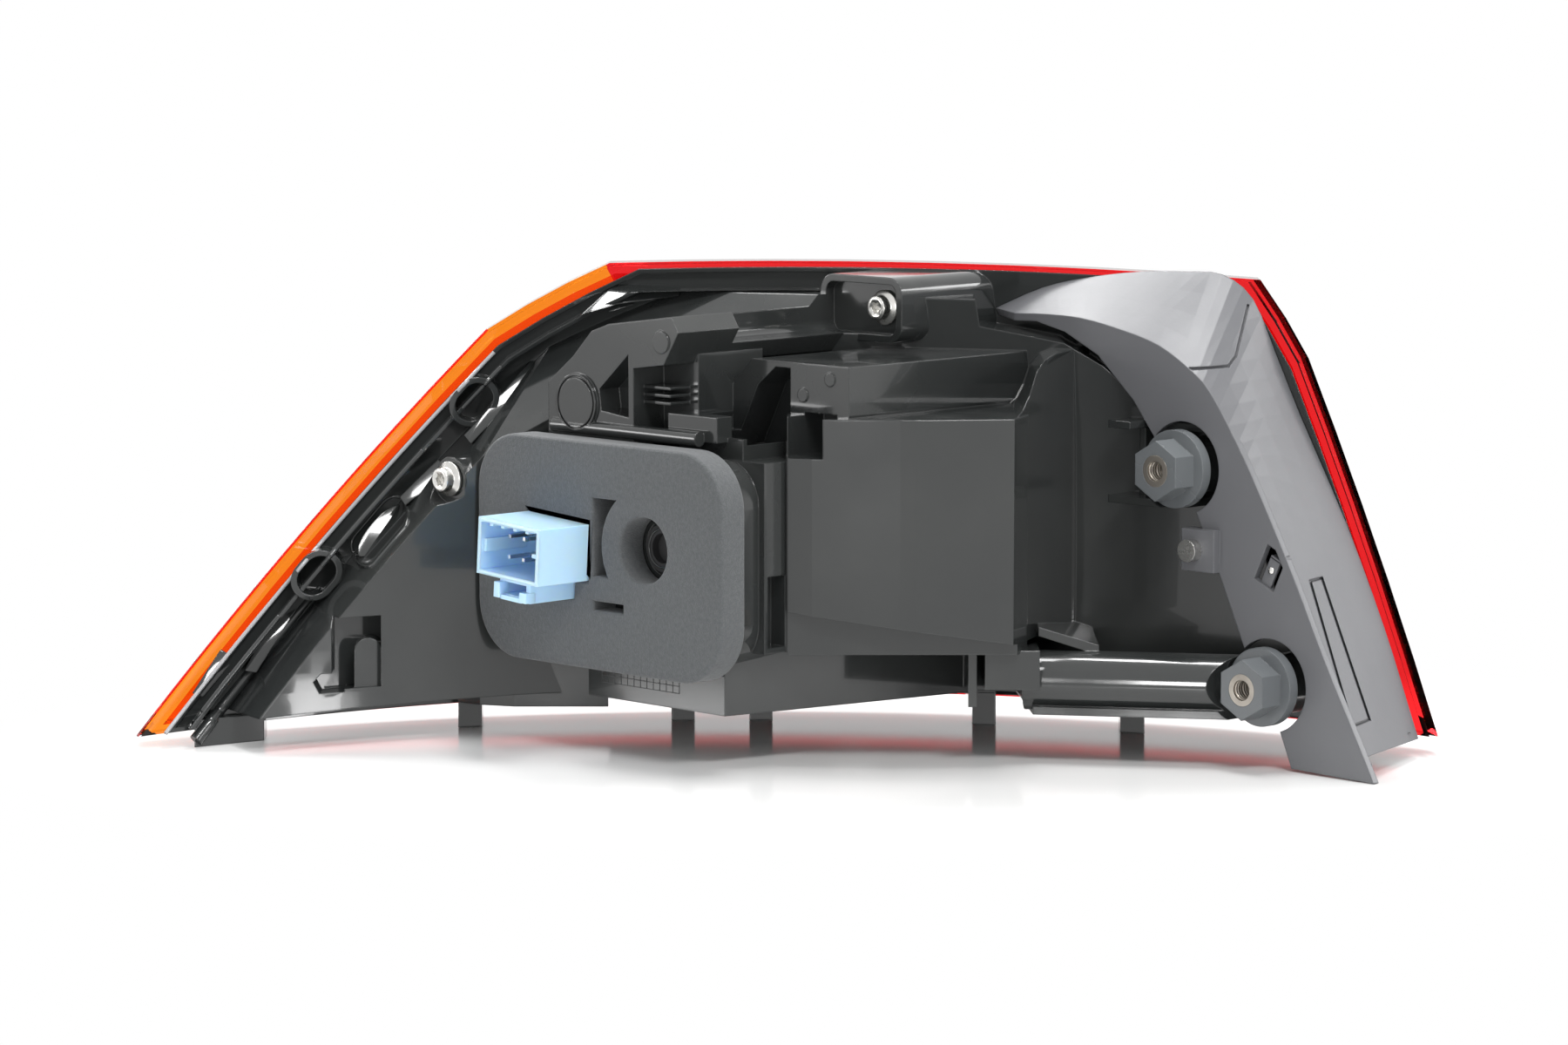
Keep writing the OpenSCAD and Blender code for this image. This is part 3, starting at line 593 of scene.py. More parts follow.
def geometry_tree(name: str, inputs: dict[str, str]) -> Opened:
    """Opens a Geometry Nodes tree with a geometry, a material and named inputs, and a geometry output."""
    every = {"Geometry": GEOMETRY, "Material": MATERIAL, **inputs}
    return open_tree(name, "GeometryNodeTree", every, {"Geometry": GEOMETRY})


def close_tree(g: Graph, out: Node, geometry: Node, material: Socket) -> Tree:
    """Ends a tree in Realize Instances and Set Material, and gives it back."""
    real = g.add("GeometryNodeRealizeInstances", {0: geometry})
    g.put(out, {0: g.add("GeometryNodeSetMaterial", {"Geometry": real, "Material": material})})
    return g.tree


def bake_tree(name: str, tree: Tree, values: dict, paths: list[Path] | None = None) -> Object:
    """Runs a Geometry Nodes tree and keeps its result as a plain mesh.

    Args:
        name: The new piece's name.
        tree: The tree.
        values: Its inputs, by name.
        paths: Points that the tree follows, each list open or closed.

    Returns:
        The new piece, with no modifier left.
    """
    points: list[Vector] = []
    edges: list[tuple[int, int]] = []
    for path, closed in paths or []:
        first, count = len(points), len(path)
        points += path
        edges += [(first + i, first + (i + 1) % count) for i in range(count if closed else count - 1)]
    lines = bpy.data.meshes.new(name + "_carrier")
    lines.from_pydata(points, edges, [])
    carrier = linked(name + "_carrier", lines)
    modifier = carrier.modifiers.new("Build", "NODES")
    modifier.node_group = tree
    ids = {i.name: i.identifier for i in tree.interface.items_tree if i.in_out == "INPUT"}
    for key, value in values.items():
        modifier[ids[key]] = value
    mesh = plain_mesh(carrier)
    mesh.name = name
    carrier.modifiers.remove(modifier)
    bpy.data.objects.remove(carrier)
    return linked(name, mesh)


def sweep_tree() -> Tree:
    """A tree that sweeps a round section along the carrier's lines, from one radius to another."""
    g, a, z = geometry_tree("Bead_Sweep", {"Sides": INTEGER, **floats("Start Radius", "End Radius")})
    curve = g.add("GeometryNodeMeshToCurve", {0: a["Geometry"]})
    along = g.add("GeometryNodeSplineParameter").outputs["Factor"]
    radius = g.remap(along, (0.0, 1.0), (a["Start Radius"], a["End Radius"]))
    shape = {"Resolution": a["Sides"], "Radius": 1.0}
    section = g.add("GeometryNodeCurvePrimitiveCircle", shape, mode="RADIUS")
    sweep = g.add("GeometryNodeCurveToMesh", {0: curve, 1: section, "Scale": radius, "Fill Caps": True})
    return close_tree(g, z, sweep, a["Material"])


SWEEP = sweep_tree()


def bead(name: str, paths: list[Path], radius: float | Pair, finish: Finish) -> None:
    """Sweeps a round bead along paths and dresses it.

    Args:
        name: The piece's name.
        paths: Its lines, in the row frame.
        radius: Its radius in millimetres, or one for the start and one for the end.
        finish: Its finish.
    """
    start, end = radius if isinstance(radius, tuple) else (radius, radius)
    values = {"Start Radius": start * MM, "End Radius": end * MM, "Sides": 12, "Material": finish.get()}
    finish_piece(bake_tree(name, SWEEP, values, paths), finish, 60.0)


def blocks(name: str, boxes: list[tuple[Triple, Triple]], place: Matrix, chamfer: float) -> Object:
    """Makes one piece of small chamfered blocks.

    Args:
        name: The piece's name.
        boxes: The low and high corners of each block, in millimetres on the place's axes.
        place: Carries the blocks into the row frame, from millimetres.
        chamfer: Width of the chamfers, in millimetres.

    Returns:
        The piece, not dressed yet.
    """
    bm = bmesh.new()
    for low, high in boxes:
        for vert in bmesh.ops.create_cube(bm, size=1.0)["verts"]:
            vert.co = Vector(low[i] + (vert.co[i] + 0.5) * (high[i] - low[i]) for i in range(3))
    bmesh.ops.bevel(bm, geom=bm.edges[:], offset=chamfer, segments=2, profile=0.7, affect="EDGES")
    bm.transform(place)
    return mesh_piece(name, bm)


class Skin:
    """The housing's surface as the camera's side of the lamp meets it."""

    def __init__(self, node: Object) -> None:
        """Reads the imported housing."""
        mesh = node.data
        corners = [v.co for v in mesh.vertices]
        self.tree = BVHTree.FromPolygons(corners, [tuple(f.vertices) for f in mesh.polygons])

    def draped(self, points: list[Vector]) -> list[Vector]:
        """The places on the housing in front of points given as (u, z), without those that miss it."""
        way = TURN @ Vector((0, 1, 0))
        hits = [self.tree.ray_cast(lamp_point(p.x, -150, p.y), way)[0] for p in points]
        return [hit for hit in hits if hit is not None]


# Middle and turn of the oval recess on the housing's slope
OVAL = Vector((-137.8, 68.8))
OVAL_TURN = 49.0


@dataclass
class SlopeBeads:
    """The moulded beads on the housing's slope and along its rim, which catch the light."""

    skin: Skin
    tip: Vector = field(default_factory=lambda: Vector((-217.5, 3.5)))
    shoulder: Vector = field(default_factory=lambda: Vector((-102.0, 136.0)))
    bow: float = 2.5
    steps: int = 40
    # How far the rail, the slope's foot and the rim's pale bead lie in from the edge, in millimetres; the
    # bead is a seal bead painted light grey as the rim edge's highlight
    rail_inset: float = 12.2
    foot_inset: float = 16.5
    rim_inset: float = 7.0
    # The shares of the edge between the collars, where the rail runs
    rail_spans: tuple[Pair, ...] = ((0.06, 0.34), (0.46, 0.75), (0.86, 0.97))

    def edge(self, inset: float, start: float, end: float) -> list[Vector]:
        """Points along the leading edge at an inset, between two shares of its length."""
        along = self.shoulder - self.tip
        inward = Vector((along.y, -along.x)).normalized()
        shares = [start + (end - start) * i / self.steps for i in range(self.steps + 1)]
        return [self.tip + along * t + inward * (inset - self.bow * 4 * t * (1 - t)) for t in shares]

    def line(self, inset: float, start: float, end: float) -> Path:
        """An open path on the housing along the leading edge."""
        return self.skin.draped(self.edge(inset, start, end)), False

    def ring(self, length: float, width: float) -> Path:
        """A closed path on the housing round the oval recess."""
        points = []
        for p in circle(48):
            x = math.copysign((length - width) / 2, p.x) + width / 2 * p.x
            points.append(OVAL + turned(x, width / 2 * p.y, OVAL_TURN))
        return self.skin.draped(points), True

    def build(self) -> None:
        """Builds the beads."""
        rail = [self.line(self.rail_inset, start, end) for start, end in self.rail_spans]
        foot = [self.line(self.foot_inset, 0.42, 0.06)]
        rim = [self.line(self.rim_inset, 0.02, 0.98)]
        outer = [LENS.at(p.x, p.y, 9.2) for p in self.edge(0.1, 0.0, 1.0)]
        black = Finish.HOUSING
        bead("rail_bead", rail, 0.9, black)
        bead("slope_foot_bead", foot, (0.8, 2.4), black)
        # The rim's bead is a seal bead painted light grey, a painted highlight along the rim edge
        bead("rim_line", rim, 0.7, Finish.RIM_BEAD_HIGHLIGHT)
        bead("amber_edge_line", [(outer, False)], 0.45, Finish.LENS_RED)
        bead("recess_lip", [self.ring(25.0, 11.0)], 0.6, black)


# Where the camera looks and stands, on the lamp's axes, and how far the lamps hang, all in millimetres
AIM = Vector((0.0, 0.0, 80.0))
CAMERA = Vector((0.0, -1687.0, 287.0))
OFF = 1700.0
# Directions of the two lamps that the facets show the camera
ABOVE = (0.10, 0.05, 0.99)
OVER_FRONT = (0.25, -0.60, 0.76)


def mirror_normal(place: Vector, way: Triple) -> Vector:
    """The normal of a face that shows the camera the light in a direction.

    Args:
        place: The face's middle on the lamp's axes, in millimetres.
        way: The light's direction from the object's middle.

    Returns:
        The unit normal on the lamp's axes.
    """
    light = AIM + Vector(way).normalized() * OFF
    return ((light - place).normalized() + (CAMERA - place).normalized()).normalized()


# Each facet's corners as (u, z), the lamp that it shows, and how far it stands out, in millimetres
LEDGE = ((-162.9, 52.4), (-159.5, 50.6), (-168.0, 40.0), (-178.5, 23.0), (-182.5, 23.9), (-175.0, 39.1))
TIP = ((-190.9, 30.6), (-185.7, 27.7), (-195.8, 15.8), (-199.5, 17.1))
UPPER = ((-86, 127), (-83.5, 124), (-91, 115.5), (-101, 104.5), (-106.5, 98.5), (-109, 101.5), (-99, 112))
COLLAR = ((-118.5, 92.5), (-116, 90), (-123.5, 82), (-129, 77.5), (-131, 80.5))
STEP_TOP = ((-69.7, 141.7), (-57.1, 152.6), (-44, 157), (-35, 155.5), (-36, 147.5), (-57.7, 145.4))
STEP_FOLD = ((-60, 142.5), (-51.4, 144.8), (-52.5, 151.5), (-58.5, 152.5))
PLATE = tuple(OVAL + turned(10.5 * p.x, 3.6 * p.y, OVAL_TURN) for p in circle(28))
FACETS = (
    (LEDGE, OVER_FRONT, 0.8),
    (TIP, OVER_FRONT, 0.8),
    (UPPER, OVER_FRONT, 0.8),
    (COLLAR, OVER_FRONT, 0.6),
    (STEP_TOP, ABOVE, 0.5),
    (STEP_FOLD, ABOVE, 1.2),
    (PLATE, OVER_FRONT, 0.8),
)


@dataclass
class SlopeFacets:
    """The flat facets moulded into the housing's slope and steps, which turn up to the light."""

    skin: Skin
    sink: float = 1.2
    least: float = 0.4

    def facet(self, bm: BMesh, outline: tuple, way: Triple, lift: float) -> None:
        """Adds one facet with its solid root.

        Args:
            bm: The mesh that takes it.
            outline: Its corners as (u, z), in millimetres.
            way: The direction that it mirrors to the camera.
            lift: How far it stands in front of the housing, in millimetres.
        """
        count = len(outline)
        middle = sum((Vector(p) for p in outline), Vector((0.0, 0.0))) / count
        normal = mirror_normal(Vector((middle.x, 30.0, middle.y)), way)
        back = TURN.transposed()
        slopes = [-(normal.x * (u - middle.x) + normal.z * (z - middle.y)) / normal.y for u, z in outline]
        hits = [self.skin.draped([Vector(p)]) for p in outline]
        depths = [(back @ (hit[0] / MM - MIDDLE)).y if hit else None for hit in hits]
        known = [d - slope for d, slope in zip(depths, slopes) if d is not None]
        level = sum(known) / len(known) - lift
        front, rear = [], []
        for (u, z), slope, d in zip(outline, slopes, depths):
            v = level + slope
            foot = max(v + self.least, (v if d is None else d) + self.sink)
            front.append(bm.verts.new(lamp_point(u, v, z)))
            rear.append(bm.verts.new(lamp_point(u, foot, z)))
        bm.faces.new(front)
        bm.faces.new(rear[::-1])
        for i in range(count):
            j = (i + 1) % count
            bm.faces.new((front[i], front[j], rear[j], rear[i]))

    def build(self) -> None:
        """Builds the facets as one piece."""
        bm = bmesh.new()
        for outline, way, lift in FACETS:
            self.facet(bm, outline, way, lift)
        bmesh.ops.bevel(bm, geom=bm.edges[:], offset=0.35 * MM, segments=2, profile=0.6, affect="EDGES")
        finish_piece(mesh_piece("slope_facets", bm), Finish.HOUSING)


@dataclass
class ConnectorDetails:
    """The coding ribs, the side keys, the latch and the rounded mouth of the connector."""

    centre: Pair = (-72.0, 69.0)
    turn: float = 4.0
    width: float = 30.0
    height: float = 19.0
    wall: float = 1.4
    front: float = -57.0
    lip: float = 0.72

    def boxes(self) -> list[tuple[Triple, Triple]]:
        """Low and high corners of the ribs, the side keys and the latch, on the plug's axes."""
        top = self.height / 2 - self.wall
        side = self.width / 2 - self.wall
        low = -self.height / 2
        f = self.front
        ribs = [((x - 0.8, f + 0.8, top - 1.1), (x + 0.8, f + 17, top + 0.2)) for x in (-9.5, -4.0, 2.0, 8.0)]
        keys = [
            ((side - 3.6, f + 1.5, -0.7), (side + 0.2, f + 20, 0.7)),
            ((-side - 0.2, f + 1.5, -2.2), (-side + 1.2, f + 20, 2.2)),
        ]
        latch = [
            ((-6.9, f + 0.6, low - 6.8), (-4.1, f + 5, low - 1.6)),
            ((5.6, f + 0.6, low - 6.8), (8.9, f + 5, low - 3.4)),
            ((-4.4, f + 1.4, low - 7.2), (6.0, f + 5, low - 5.7)),
        ]
        return ribs + keys + latch

    def build(self) -> None:
        """Builds the details."""
        place = standing(*self.centre, self.turn)
        finish_piece(blocks("connector_ribs", self.boxes(), place, 0.22), Finish.CONNECTOR)
        mouth = rounded(self.width - self.wall, self.height - self.wall, 1.2, 6)
        rim = [place @ Vector((p.x, self.front + 0.45, p.y)) for p in mouth]
        bead("connector_mouth", [(rim, True)], self.lip, Finish.CONNECTOR)


@dataclass
class SmallFittings:
    """The rings round the vent, the bent tab in the trim's window and the ribs of the bare field."""

    vent: Pair = (-30.4, 71.0)
    window: Pair = (118.6, 66.0)
    window_turn: float = 25.0
    field_low: Pair = (-61.0, 22.2)
    field_high: Pair = (-34.6, 31.8)
    field_v: float = -28.3

    def rings(self) -> None:
        """Builds the two fine rings seen through the round hole of the gasket."""
        x, z = self.vent
        paths = [
            ([row_point(x + radius * p.x, y, z + radius * p.y) for p in circle(48)], True)
            for radius, y in ((9.6, -24.1), (6.4, -26.1))
        ]
        bead("vent_rings", paths, 0.35, Finish.HOUSING)

    def tab(self) -> None:
        """Builds the bent tab and its stud in the window of the trim's blade."""
        place = standing(*self.window, self.window_turn)
        plate = [((-2.2, 107.0, -6.9), (2.2, 108.2, 3.4)), ((-2.2, 107.0, 2.6), (2.2, 110.5, 3.8))]
        finish_piece(blocks("window_tab", plate, place, 0.25), Finish.TRIM)
        bm = bmesh.new()
        bmesh.ops.create_uvsphere(bm, u_segments=20, v_segments=10, radius=1.3)
        bmesh.ops.scale(bm, verts=bm.verts, vec=(1.0, 0.5, 1.0))
        bmesh.ops.translate(bm, verts=bm.verts, vec=(0.0, 106.95, -1.0))
        bm.transform(place)
        finish_piece(mesh_piece("window_stud", bm), Finish.SCREW)

    def bare_field(self) -> None:
        """Builds the fine crossing ribs of the bare field on the lower box."""
        (u0, z0), (u1, z1) = self.field_low, self.field_high
        up = [(u, u, z0, z1) for u in (u0 + 2.2 * i for i in range(13))]
        across = [(u0, u1, z, z) for z in (z0 + 2.4 * i for i in range(5))]
        paths = [
            ([lamp_point(a, self.field_v - a, low), lamp_point(b, self.field_v - b, high)], False)
            for a, b, low, high in up + across
        ]
        bead("bare_field_ribs", paths, 0.16, Finish.HOUSING)

    def build(self) -> None:
        """Builds the fittings."""
        self.rings()
        self.tab()
        self.bare_field()


@dataclass
class GasketPad:
    """The foam gasket, with its soft rounded edges, on the seat round the connector."""

    width: float = 118.0
    height: float = 76.0
    corner: float = 19.0
    front: float = -35.0
    back: float = -24.0
    centre: Pair = (-52.6, 67.0)
    hole: Pair = (-30.4, 71.0)
    hole_r: float = 11.0
    plug: Pair = (-72.0, 69.0)
    plug_turn: float = -4.0
    edge: float = 1.1

    def plug_hole(self) -> list[Vector]:
        """The opening round the connector and its latch."""
        right = [(-15.5, 10), (15.5, 10), (15.5, -10), (9.0, -10)]
        left = [(9.0, -16.6), (-7.0, -16.6), (-7.0, -10), (-15.5, -10)]
        return [Vector(self.plug) + turned(x, z, self.plug_turn) for x, z in right + left]

    def wedge(self) -> list[Vector]:
        """The wedge window beside the ring of foam round the hole."""
        left, r, low, high = -24.2, 20.5, -10.6, 15.4
        arc = [(-math.sqrt(r * r - z * z), z) for z in (low, -6, -2, 2, 6, 10, 13, high)]
        return [Vector(self.hole) + Vector(p) for p in [(left, low), *arc, (left, high)]]

    def slot(self) -> list[Vector]:
        """The short slot under the hole."""
        middle = Vector(self.hole) + Vector((-17, -20.5))
        return [middle + Vector(p) for p in ((-7, -1.5), (7, -1.5), (7, 1.5), (-7, 1.5))]

    def build(self) -> None:
        """Builds the pad from its outlines, in place of the plain solid."""
        curve = bpy.data.curves.new("gasket_outline", "CURVE")
        curve.dimensions = "2D"
        curve.fill_mode = "BOTH"
        outline = [Vector(self.centre) + p for p in rounded(self.width, self.height, self.corner, 12)]
        hole = [Vector(self.hole) + self.hole_r * p for p in circle(48)]
        for loop in (outline, hole, self.plug_hole(), self.wedge(), self.slot()):
            spline = curve.splines.new("POLY")
            spline.points.add(len(loop) - 1)
            spline.use_cyclic_u = True
            for point, p in zip(spline.points, loop):
                point.co = (p.x * MM, p.y * MM, 0, 1)
        curve.bevel_depth = self.edge * MM
        curve.bevel_resolution = 3
        curve.offset = -self.edge * MM
        curve.extrude = (self.back - self.front) / 2 * MM - self.edge * MM
        holder = linked("gasket_curve", curve)
        mesh = plain_mesh(holder)
        bpy.data.objects.remove(holder)
        middle = (MIDDLE + Vector((0, (self.front + self.back) / 2, 0))) * MM
        mesh.transform(Matrix.Translation(middle) @ Matrix.Rotation(math.radians(90), 4, "X"))
        bm = bmesh.new()
        bm.from_mesh(mesh)
        piece = mesh_piece("gasket_pad", bm)
        finish_piece(piece, Finish.FOAM)
        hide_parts("foam_gasket")


@dataclass
class Threads:
    """The female threads in the two metal inserts."""

    centres: tuple[Pair, ...] = ((80.7, 96.0), (118.6, 27.2))
    mouth: float = 92.5
    radius: float = 3.36
    ridge: float = 0.42
    pitch: float = 1.25
    turns: float = 9.6

    def tree(self) -> Tree:
        """A tree that sweeps a small ridge along a helix."""
        g, a, z = geometry_tree("Thread_Sweep", floats("Turns", "Length", "Radius", "Ridge"))
        shape = {
            "Resolution": 32,
            "Rotations": a["Turns"],
            "Start Radius": a["Radius"],
            "End Radius": a["Radius"],
            "Height": a["Length"],
        }
        spiral = g.add("GeometryNodeCurveSpiral", shape)
        section = {"Resolution": 6, "Radius": a["Ridge"]}
        ridge = g.add("GeometryNodeCurvePrimitiveCircle", section, mode="RADIUS")
        sweep = g.add("GeometryNodeCurveToMesh", {0: spiral, 1: ridge, "Fill Caps": True})
        return close_tree(g, z, sweep, a["Material"])

    def build(self) -> None:
        """Builds a thread in each insert."""
        tree = self.tree()
        values = {
            "Turns": self.turns,
            "Length": self.turns * self.pitch * MM,
            "Radius": self.radius * MM,
            "Ridge": self.ridge * MM,
            "Material": Finish.INSERT.get(),
        }
        for label, (x, h) in zip(("upper", "lower"), self.centres):
            piece = bake_tree("thread_" + label, tree, values)
            place = Matrix.Translation(row_point(x, self.mouth, h))
            piece.data.transform(place @ Matrix.Rotation(math.radians(-90), 4, "X"))
            finish_piece(piece, Finish.INSERT)


@dataclass
class FlangeScrews:
    """The two housing screws: a domed head on a flange, with a six-lobed socket and a threaded shank."""

    places: tuple[Triple, ...] = ((-122.2, -43.0, 87.6), (-17.3, 60.8, 146.0))
    flange_r: float = 6.0
    head_r: float = 4.1
    socket_r: float = 2.2
    head_t: float = 5.0
    length: float = 16.0
    shank_r: float = 2.1
    steps: int = 48

    def rings(self) -> list[tuple[float, float, bool]]:
        """Radius, depth behind the head's top, and lobed or not, of each ring from the socket's floor on."""
        h = self.head_t
        end = h + self.length
        socket = [(0.0, 2.5, False), (1.0, 2.2, True), (1.0, 0.35, True)]
        outside = [
            (self.socket_r + 0.45, 0.05),
            (self.head_r - 0.7, 0.0),
            (self.head_r - 0.2, 0.25),
            (self.head_r, 0.8),
            (self.head_r, h - 1.9),
            (self.head_r + 0.5, h - 1.45),
            (self.flange_r - 0.25, h - 1.1),
            (self.flange_r, h - 0.8),
            (self.flange_r, h - 0.2),
            (self.flange_r - 0.2, h),
            (self.shank_r, h),
            (self.shank_r, end - 1),
            (self.shank_r - 0.8, end),
            (0.0, end),
        ]
        return socket + [(radius, depth, False) for radius, depth in outside]

    def loop(self, bm: BMesh, place: Triple, ring: tuple[float, float, bool]) -> list:
        """Adds one ring of corners, or one corner where its radius is zero."""
        x, y, z = place
        radius, depth, lobed = ring
        made = []
        for i in range(self.steps if radius else 1):
            a = 2 * math.pi * i / self.steps
            r = self.socket_r * (1 - 0.13 * (1 - math.cos(6 * a))) if lobed else radius
            made.append(bm.verts.new(row_point(x + r * math.cos(a), y + depth, z + r * math.sin(a))))
        return made

    def build(self) -> None:
        """Builds both screws in place of the plain ones."""
        bm = bmesh.new()
        for place in self.places:
            loops = [self.loop(bm, place, ring) for ring in self.rings()]
            for one, two in zip(loops, loops[1:]):
                for i in range(self.steps):
                    j = i + 1
                    ring = (one[i % len(one)], one[j % len(one)], two[j % len(two)], two[i % len(two)])
                    bm.faces.new(tuple(dict.fromkeys(ring)))
        piece = mesh_piece("flange_screws", bm)
        finish_piece(piece, Finish.SCREW)
        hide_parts("housing_screws")


@dataclass
class LightUnit:
    """The fine optics inside: domes on the light sources and prisms behind the reflex strip."""

    step: float = 4.588
    board_depth: float = 36.2
    dome: float = 1.7
    dome_stand: float = 0.9
    # First and last cup, counted from the lens's middle, and the height of each row
    rows: tuple[tuple[str, int, int, float], ...] = (
        ("brake_low", -1, 5, 92.0),
        ("brake_high", 0, 3, 117.0),
        ("turn", -3, -1, 46.0),
        ("reverse", 1, 6, 46.0),
    )
    prism_start: Pair = (-33.0, 69.4)
    prism_pitch: Pair = (2.2, 2.1)
    prism_count: tuple[int, int] = (66, 3)
    prism_depth: float = 7.0

    def dome_tree(self) -> Tree:
        """A tree that places domes on an arc, one for each light source."""
        plain = floats("First Angle", "Step", "Arc Radius", "Dome")
        g, a, z = geometry_tree("Led_Domes", {"Count": INTEGER, "Centre": VECTOR, **plain})
        index = g.add("GeometryNodeInputIndex")
        turn = g.math("ADD", a["First Angle"], g.math("MULTIPLY", index, a["Step"]))
        angle = g.math("RADIANS", turn)
        x, y = (g.math("MULTIPLY", g.math(way, angle), a["Arc Radius"]) for way in ("COSINE", "SINE"))
        place = g.add("ShaderNodeCombineXYZ", {0: x, 1: y})
        there = g.vector("ADD", place, a["Centre"])
        points = g.add("GeometryNodePoints", {"Count": a["Count"], "Position": there})
        dome = g.add("GeometryNodeMeshUVSphere", {"Segments": 20, "Rings": 12, "Radius": a["Dome"]})
        placed = {"Points": points, "Instance": dome}
        domes = g.add("GeometryNodeInstanceOnPoints", placed)
        return close_tree(g, z, domes, a["Material"])

    def prism_tree(self) -> Tree:
        """A tree that stands three-sided prisms on the carrier's points, turned to the lens's centre."""
        g, a, z = geometry_tree("Reflex_Prisms", floats("Size", "Depth"))
        shape = {"Radius Bottom": a["Size"], "Depth": a["Depth"]}
        cone = g.add("GeometryNodeMeshCone", {"Vertices": 3, "Radius Top": 0.0, **shape})
        points = g.add("GeometryNodeMeshToPoints", {"Mesh": a["Geometry"]})
        here = g.add("GeometryNodeInputPosition")
        off = g.vector("SUBTRACT", lamp_point(LENS.centre_u, LENS.centre_v, 0), here)
        level = g.vector("MULTIPLY", off, (1.0, 1.0, 0.0))
        turn = g.add("FunctionNodeAlignRotationToVector", {"Vector": level}, axis="Z")
        placed = {"Points": points, "Instance": cone, "Rotation": turn}
        prisms = g.add("GeometryNodeInstanceOnPoints", placed)
        return close_tree(g, z, prisms, a["Material"])

    def prisms(self) -> None:
        """Builds the field of prisms behind the reflex strip, in staggered rows."""
        (u, z), (du, dz), (columns, rows) = self.prism_start, self.prism_pitch, self.prism_count
        points = [
            LENS.at(u + (i + 0.5 * (k % 2)) * du, z + k * dz, self.prism_depth)
            for k in range(rows)
            for i in range(columns)
        ]
        values = {"Size": 1.2 * MM, "Depth": 0.9 * MM, "Material": Finish.REFLEX.get()}
        piece = bake_tree("reflex_prisms", self.prism_tree(), values, [(points, False)])
        finish_piece(piece, Finish.REFLEX, 10.0)

    def build(self) -> None:
        """Builds the prisms and the domes of every row."""
        self.prisms()
        tree = self.dome_tree()
        for label, first, last, z in self.rows:
            values = {
                "Count": last - first + 1,
                # The row's axes stand 45 degrees from the lamp's own
                "First Angle": 90.0 + 45.0 - self.step * first,
                "Step": -self.step,
                "Arc Radius": (LENS.reach(z, self.board_depth) + self.dome_stand) * MM,
                "Centre": lamp_point(LENS.centre_u, LENS.centre_v, z),
                "Dome": self.dome * MM,
                "Material": Finish.LED_BODY.get(),
            }
            finish_piece(bake_tree("led_domes_" + label, tree, values), Finish.LED_BODY)


@dataclass(frozen=True)
class SoftLamp:
    """One soft lamp that hangs round the object and points at it.

    Its way is the direction from the object on the lamp's own axes, its distance and size are in metres,
    and its glow is the brightness of its face, where the white background has 1.
    """

    name: str
    way: Triple
    distance: float
    size: Pair
    glow: float

    def hang(self, aim: Vector) -> None:
        """Hangs the lamp."""
        width, height = self.size
        data = bpy.data.lights.new(self.name, "AREA")
        data.shape, data.size, data.size_y = "RECTANGLE", width, height
        data.energy = self.glow * 4 * width * height
        lamp = linked(self.name, data)
        there = (TURN @ Vector(self.way)).normalized() * self.distance
        lamp.location = aim + there
        lamp.rotation_euler = there.to_track_quat("Z", "Y").to_euler()


LAMPS = (
    SoftLamp("strip_above", ABOVE, 1.7, (0.8, 0.3), 20.0),
    SoftLamp("strip_high_behind", (-0.20, 0.56, 0.80), 1.7, (1.1, 0.4), 12.0),
    SoftLamp("strip_behind", (-0.54, 0.75, 0.36), 1.8, (0.7, 0.3), 8.0),
    SoftLamp("strip_right", (0.92, 0.24, 0.32), 1.8, (0.5, 0.5), 7.0),
    SoftLamp("strip_left", (-0.99, 0.02, 0.13), 1.8, (0.30, 0.45), 5.0),
    SoftLamp("strip_over_front", OVER_FRONT, 1.7, (0.6, 0.3), 20.0),
    SoftLamp("strip_front_left", (-0.20, -0.97, 0.10), 2.4, (0.14, 0.6), 20.0),
    SoftLamp("strip_front_right", (0.76, -0.64, 0.10), 2.2, (0.25, 0.6), 9.0),
)


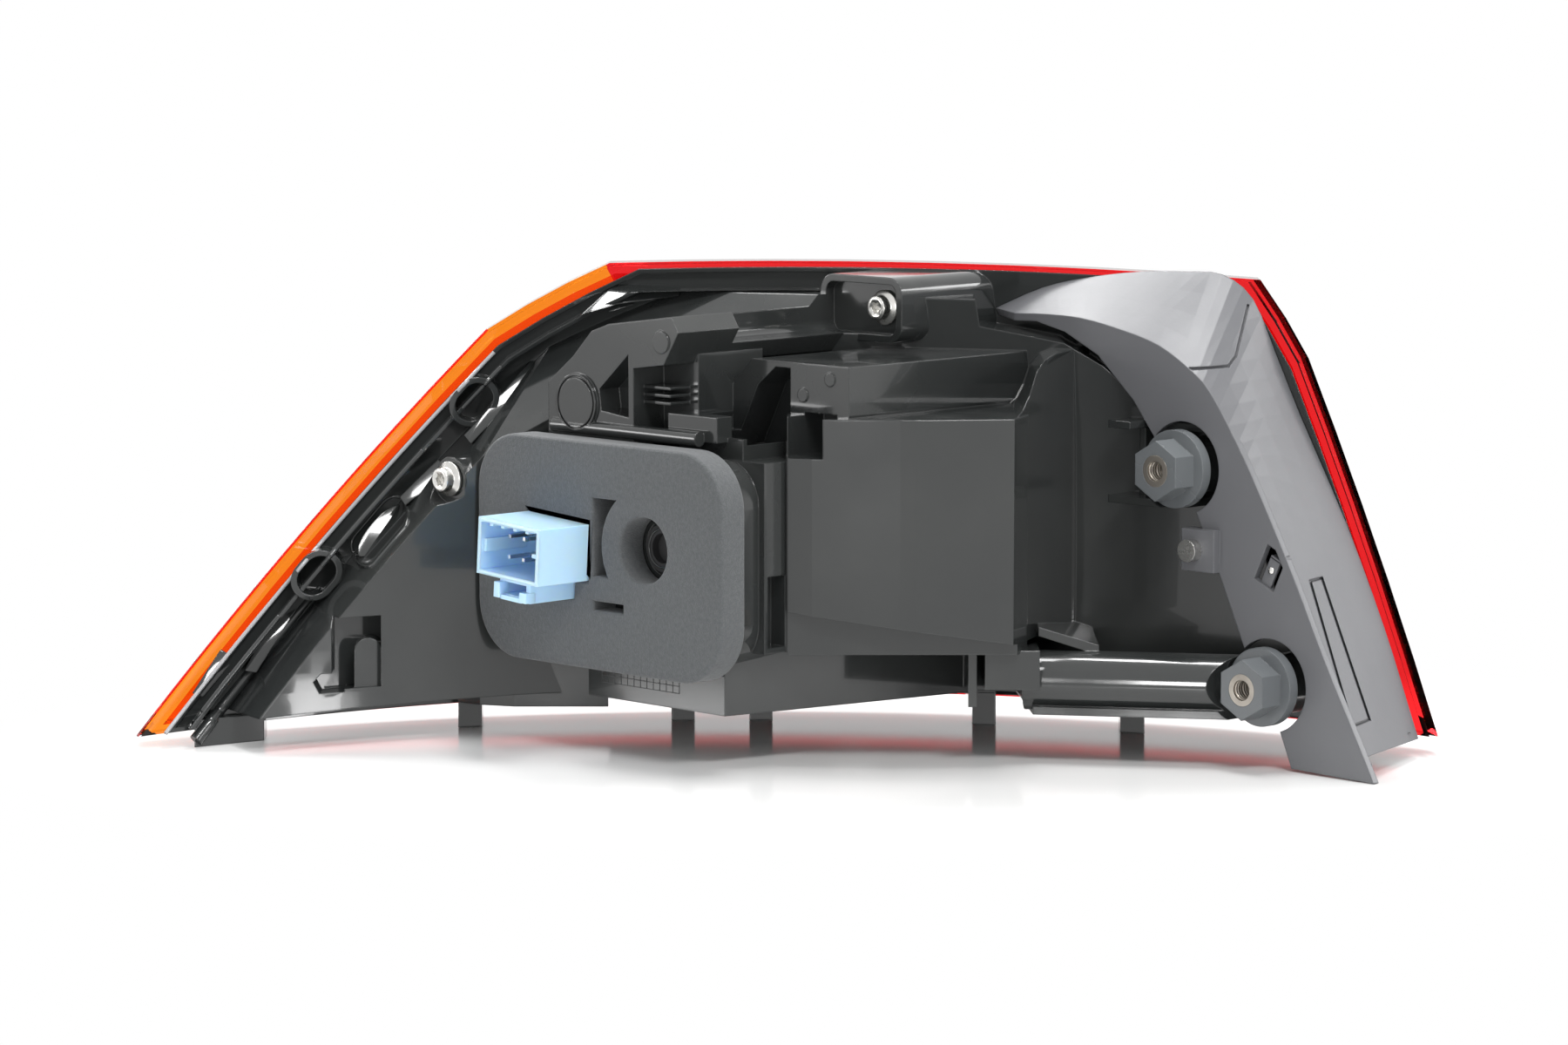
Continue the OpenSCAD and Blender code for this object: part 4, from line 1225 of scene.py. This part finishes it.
@dataclass
class Studio:
    """The pale floor, the soft lamps, the surroundings and the camera at the photograph's angle."""

    azimuth: float = 45.0
    elevation: float = 7.0
    distance: float = 1.7
    lens: float = 119.0
    aim: Vector = field(default_factory=lambda: lamp_point(*AIM))
    # Middle and half widths of the part of the floor that shows, before it fades into white
    pool: Vector = field(default_factory=lambda: lamp_point(45, 38, 0))
    pool_size: Pair = (0.24, 0.15)

    def camera(self) -> None:
        """Places the camera."""
        a, e = math.radians(self.azimuth), math.radians(self.elevation)
        back = Vector((math.sin(a) * math.cos(e), -math.cos(a) * math.cos(e), math.sin(e)))
        data = bpy.data.cameras.new("view")
        data.lens, data.sensor_width, data.clip_start, data.clip_end = self.lens, 36.0, 0.05, 60.0
        camera = linked("view", data)
        camera.location = self.aim + back * self.distance
        camera.rotation_euler = back.to_track_quat("Z", "Y").to_euler()
        bpy.context.scene.camera = camera

    def floor_material(self, low: float) -> Material:
        """A glossy white that fades into the white surroundings off the pool, for a floor at a height."""
        material, g, shader = new_material("Studio_Floor_White")
        place = g.place()
        off = g.vector("SUBTRACT", place, (self.pool.x, self.pool.y, low))
        turn = {"Vector": off, "Angle": math.radians(-45)}
        spun = g.add("ShaderNodeVectorRotate", turn, rotation_type="Z_AXIS")
        ring = g.vector("MULTIPLY", spun, (1 / self.pool_size[0], 1 / self.pool_size[1], 1.0))
        size = g.vector("LENGTH", ring)
        far = g.remap(size.outputs["Value"], (0.75, 1.35), interpolation_type="SMOOTHSTEP")
        rough = g.remap(g.noise(place, 30.0, 4.0), (0.0, 1.0), (0.09, 0.15))
        g.put(shader, {"Roughness": rough, "Base Color": (0.86, 0.86, 0.855, 1), "Specular IOR Level": 0.3})
        white = g.add("ShaderNodeEmission", {"Color": (1, 1, 1, 1), "Strength": 1.0})
        mix = g.add("ShaderNodeMixShader", {0: far, 1: shader, 2: white})
        g.put(g.tree.nodes["Material Output"], {"Surface": mix})
        return material

    def floor(self) -> None:
        """Lays the floor just under the lamp."""
        bm = bmesh.new()
        bmesh.ops.create_circle(bm, cap_ends=True, radius=12.0, segments=96)
        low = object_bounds()[0].z - 0.0002
        middle = row_point(0, 0, 0)
        bmesh.ops.translate(bm, verts=bm.verts, vec=(middle.x, middle.y, low))
        piece = mesh_piece("studio_floor", bm)
        piece.data.materials.append(self.floor_material(low))
        piece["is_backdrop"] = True

    def surroundings(self) -> None:
        """Makes the surroundings white to the camera and in gloss and glass, and plain in their light."""
        world = bpy.data.worlds.new("studio")
        bpy.context.scene.world = world
        world.use_nodes = True
        g = Graph(world.node_tree)
        path = g.add("ShaderNodeLightPath")
        seen = g.math("MAXIMUM", path.outputs["Is Camera Ray"], path.outputs["Is Transmission Ray"])
        seen = g.math("MAXIMUM", seen, path.outputs["Is Glossy Ray"])
        direction = g.add("ShaderNodeSeparateXYZ", {0: g.add("ShaderNodeTexCoord").outputs["Generated"]})
        high = g.remap(direction.outputs["Z"], (-0.1, 0.9), (0.90, 0.60))
        strength = g.add("ShaderNodeMix", {0: seen, 2: high, 3: 1.0}, data_type="FLOAT")
        g.put(g.tree.nodes["Background"], {"Color": (1.0, 1.0, 1.0, 1), "Strength": strength})

    def build(self) -> None:
        """Builds the whole studio."""
        bpy.context.scene.view_settings.view_transform = "Standard"
        self.camera()
        self.floor()
        self.surroundings()
        for lamp in LAMPS:
            lamp.hang(self.aim)


def corners(pair: tuple[Vector, Vector]) -> list[list[float]]:
    """A pair of corners as plain lists."""
    return [list(pair[0]), list(pair[1])]


def main() -> None:
    """Builds every sub-assembly in order."""
    logging.basicConfig(level=logging.INFO, format="%(name)s %(message)s")
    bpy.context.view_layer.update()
    dress_nodes(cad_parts)
    skin = Skin(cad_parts["housing"])
    dressing = (SlopeBeads(skin), SlopeFacets(skin), GasketPad(), ConnectorDetails(), SmallFittings())
    for part in (*dressing, Threads(), FlangeScrews(), LightUnit(), Studio()):
        part.build()


if __name__ == "__main__":
    main()
